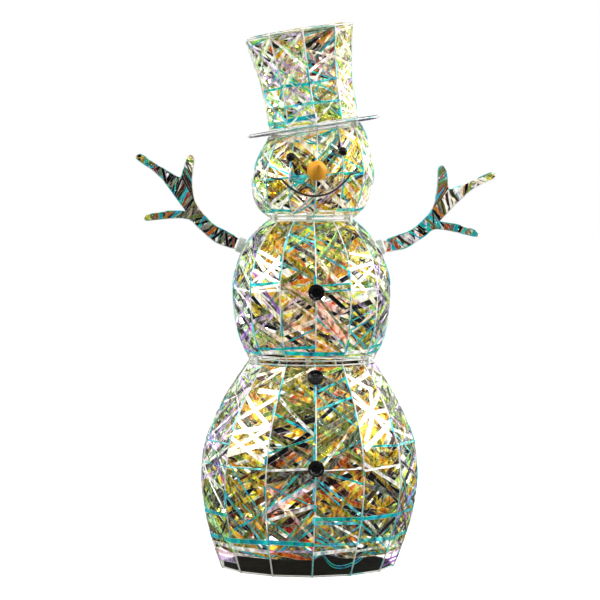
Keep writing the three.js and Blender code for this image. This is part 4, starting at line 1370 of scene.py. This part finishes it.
build_arm("left", 101)
build_arm("right", 131)

# ---------------------------------------------------------------- CAD pieces that stay, and connectors

SOCKET = [
    (0, -22), (6, -22), (7.4, -21.4), (9, -18.6), (9, -15.4), (8.4, -15), (8.4, -4), (9, -3.6), (9, -0.6),
    (8.6, 0), (6.4, 0), (6.2, -0.4), (6.2, -14), (0, -14),
]
PLUG = [
    (0, -13.6), (5, -13.6), (5.8, -12.8), (5.8, 0.4), (8.6, 0.4), (9, 0.8), (9, 4.2), (8.4, 4.8), (8.4, 12),
    (7.6, 14), (5.2, 16.2), (3.2, 18), (0, 18),
]
for prefix, (matrix, lower, upper) in CONNECTORS.items():
    for suffix, outline, body in (("socket", SOCKET, lower), ("plug", PLUG, upper)):
        shape = Shape()
        lathe(shape, outline, 32, matrix)
        piece(f"{prefix}_{suffix}_body", shape, WHITE, body, [f"{prefix}_{suffix}"])


def keep(node, material, bevel):
    """Gives a CAD node its finished material and softened edges."""
    thing = NODES[node]
    thing.data.materials.clear()
    thing.data.materials.append(material)
    modifier = thing.modifiers.new("edges", "BEVEL")
    modifier.width = bevel * MM
    modifier.segments = 2
    modifier.limit_method = "ANGLE"


for prefix in CONNECTORS:
    for number in range(1, 5):
        keep(f"{prefix}_clip_{number}", WHITE, 0.6)
keep("base_plate", PANEL, 0.8)
keep("power_inlet", BLACK_WIRE, 0.5)

# ---------------------------------------------------------------- floor, light and backdrop


FLOOR_HALF = 30.0
FLOOR_DROP = -0.0005


def floor_material(name):
    """Pale to the camera, but grey to other rays, so that black plastic stays black."""
    n = Nodes(name)
    grain = n.ramp(n.noise(n.place(), 3.0, 3.0), 0.3, 0.7)
    pale = n.mix(grain, (0.7, 0.7, 0.7, 1), (0.6895, 0.6895, 0.6895, 1))
    by_camera = n.new("LightPath").outputs["Is Camera Ray"]
    return n.finish(n.solid({
        "Base Color": n.mix(by_camera, (0.28, 0.28, 0.28, 1), pale), "Roughness": 0.7,
        "Specular IOR Level": 0.2, "Emission Color": (1, 1, 1, 1),
        "Emission Strength": n.math("MULTIPLY", by_camera, 0.9),
    }))


mesh = bpy.data.meshes.new("floor")
corners = [(x * FLOOR_HALF, y * FLOOR_HALF, 0) for x, y in ((-1, -1), (1, -1), (1, 1), (-1, 1))]
mesh.from_pydata(corners, [], [(0, 1, 2, 3)])
mesh.materials.append(floor_material("floor"))
floor = bpy.data.objects.new("floor", mesh)
floor.location = (0, 0, FLOOR_DROP)
bpy.context.scene.collection.objects.link(floor)


def area_light(name, azimuth, distance, height, size, power):
    """A soft box that faces the middle of the part. Its azimuth grows from the front towards +X."""
    data = bpy.data.lights.new(name, "AREA")
    data.shape = "RECTANGLE"
    data.size, data.size_y = size
    data.energy = power
    light = bpy.data.objects.new(name, data)
    light.location = around(math.radians(azimuth), distance, height)
    light.rotation_euler = (Vector((0, 0, 0.75)) - light.location).to_track_quat("-Z", "Y").to_euler()
    light.visible_camera = False
    bpy.context.scene.collection.objects.link(light)


area_light("left_box", -79, 2.6, 2.1, (1.5, 2.2), 44)
area_light("right_box", 76, 2.6, 2.1, (1.5, 2.2), 62)
area_light("left_back", -136, 3.0, 1.3, (1.4, 2.6), 34)
area_light("right_back", 134, 3.0, 1.3, (1.4, 2.6), 44)
area_light("top_box", 0, 0.4, 3.4, (2.4, 2.4), 48)
area_light("front_box", 14, 4.2, 2.6, (0.32, 0.32), 46)

world = bpy.data.worlds.new("world")
bpy.context.scene.world = world
n = Nodes("world", world)
seen = n.new("Background", {"Color": (1, 1, 1, 1), "Strength": 1.0}).outputs[0]
dim = n.new("Background", {"Color": (0.82, 0.86, 0.9, 1), "Strength": 0.22}).outputs[0]
n.finish(n.blend(n.new("LightPath").outputs["Is Camera Ray"], dim, seen))

scene = bpy.context.scene
scene.view_settings.view_transform = "Standard"
scene.cycles.transparent_max_bounces = 48
scene.cycles.max_bounces = 8
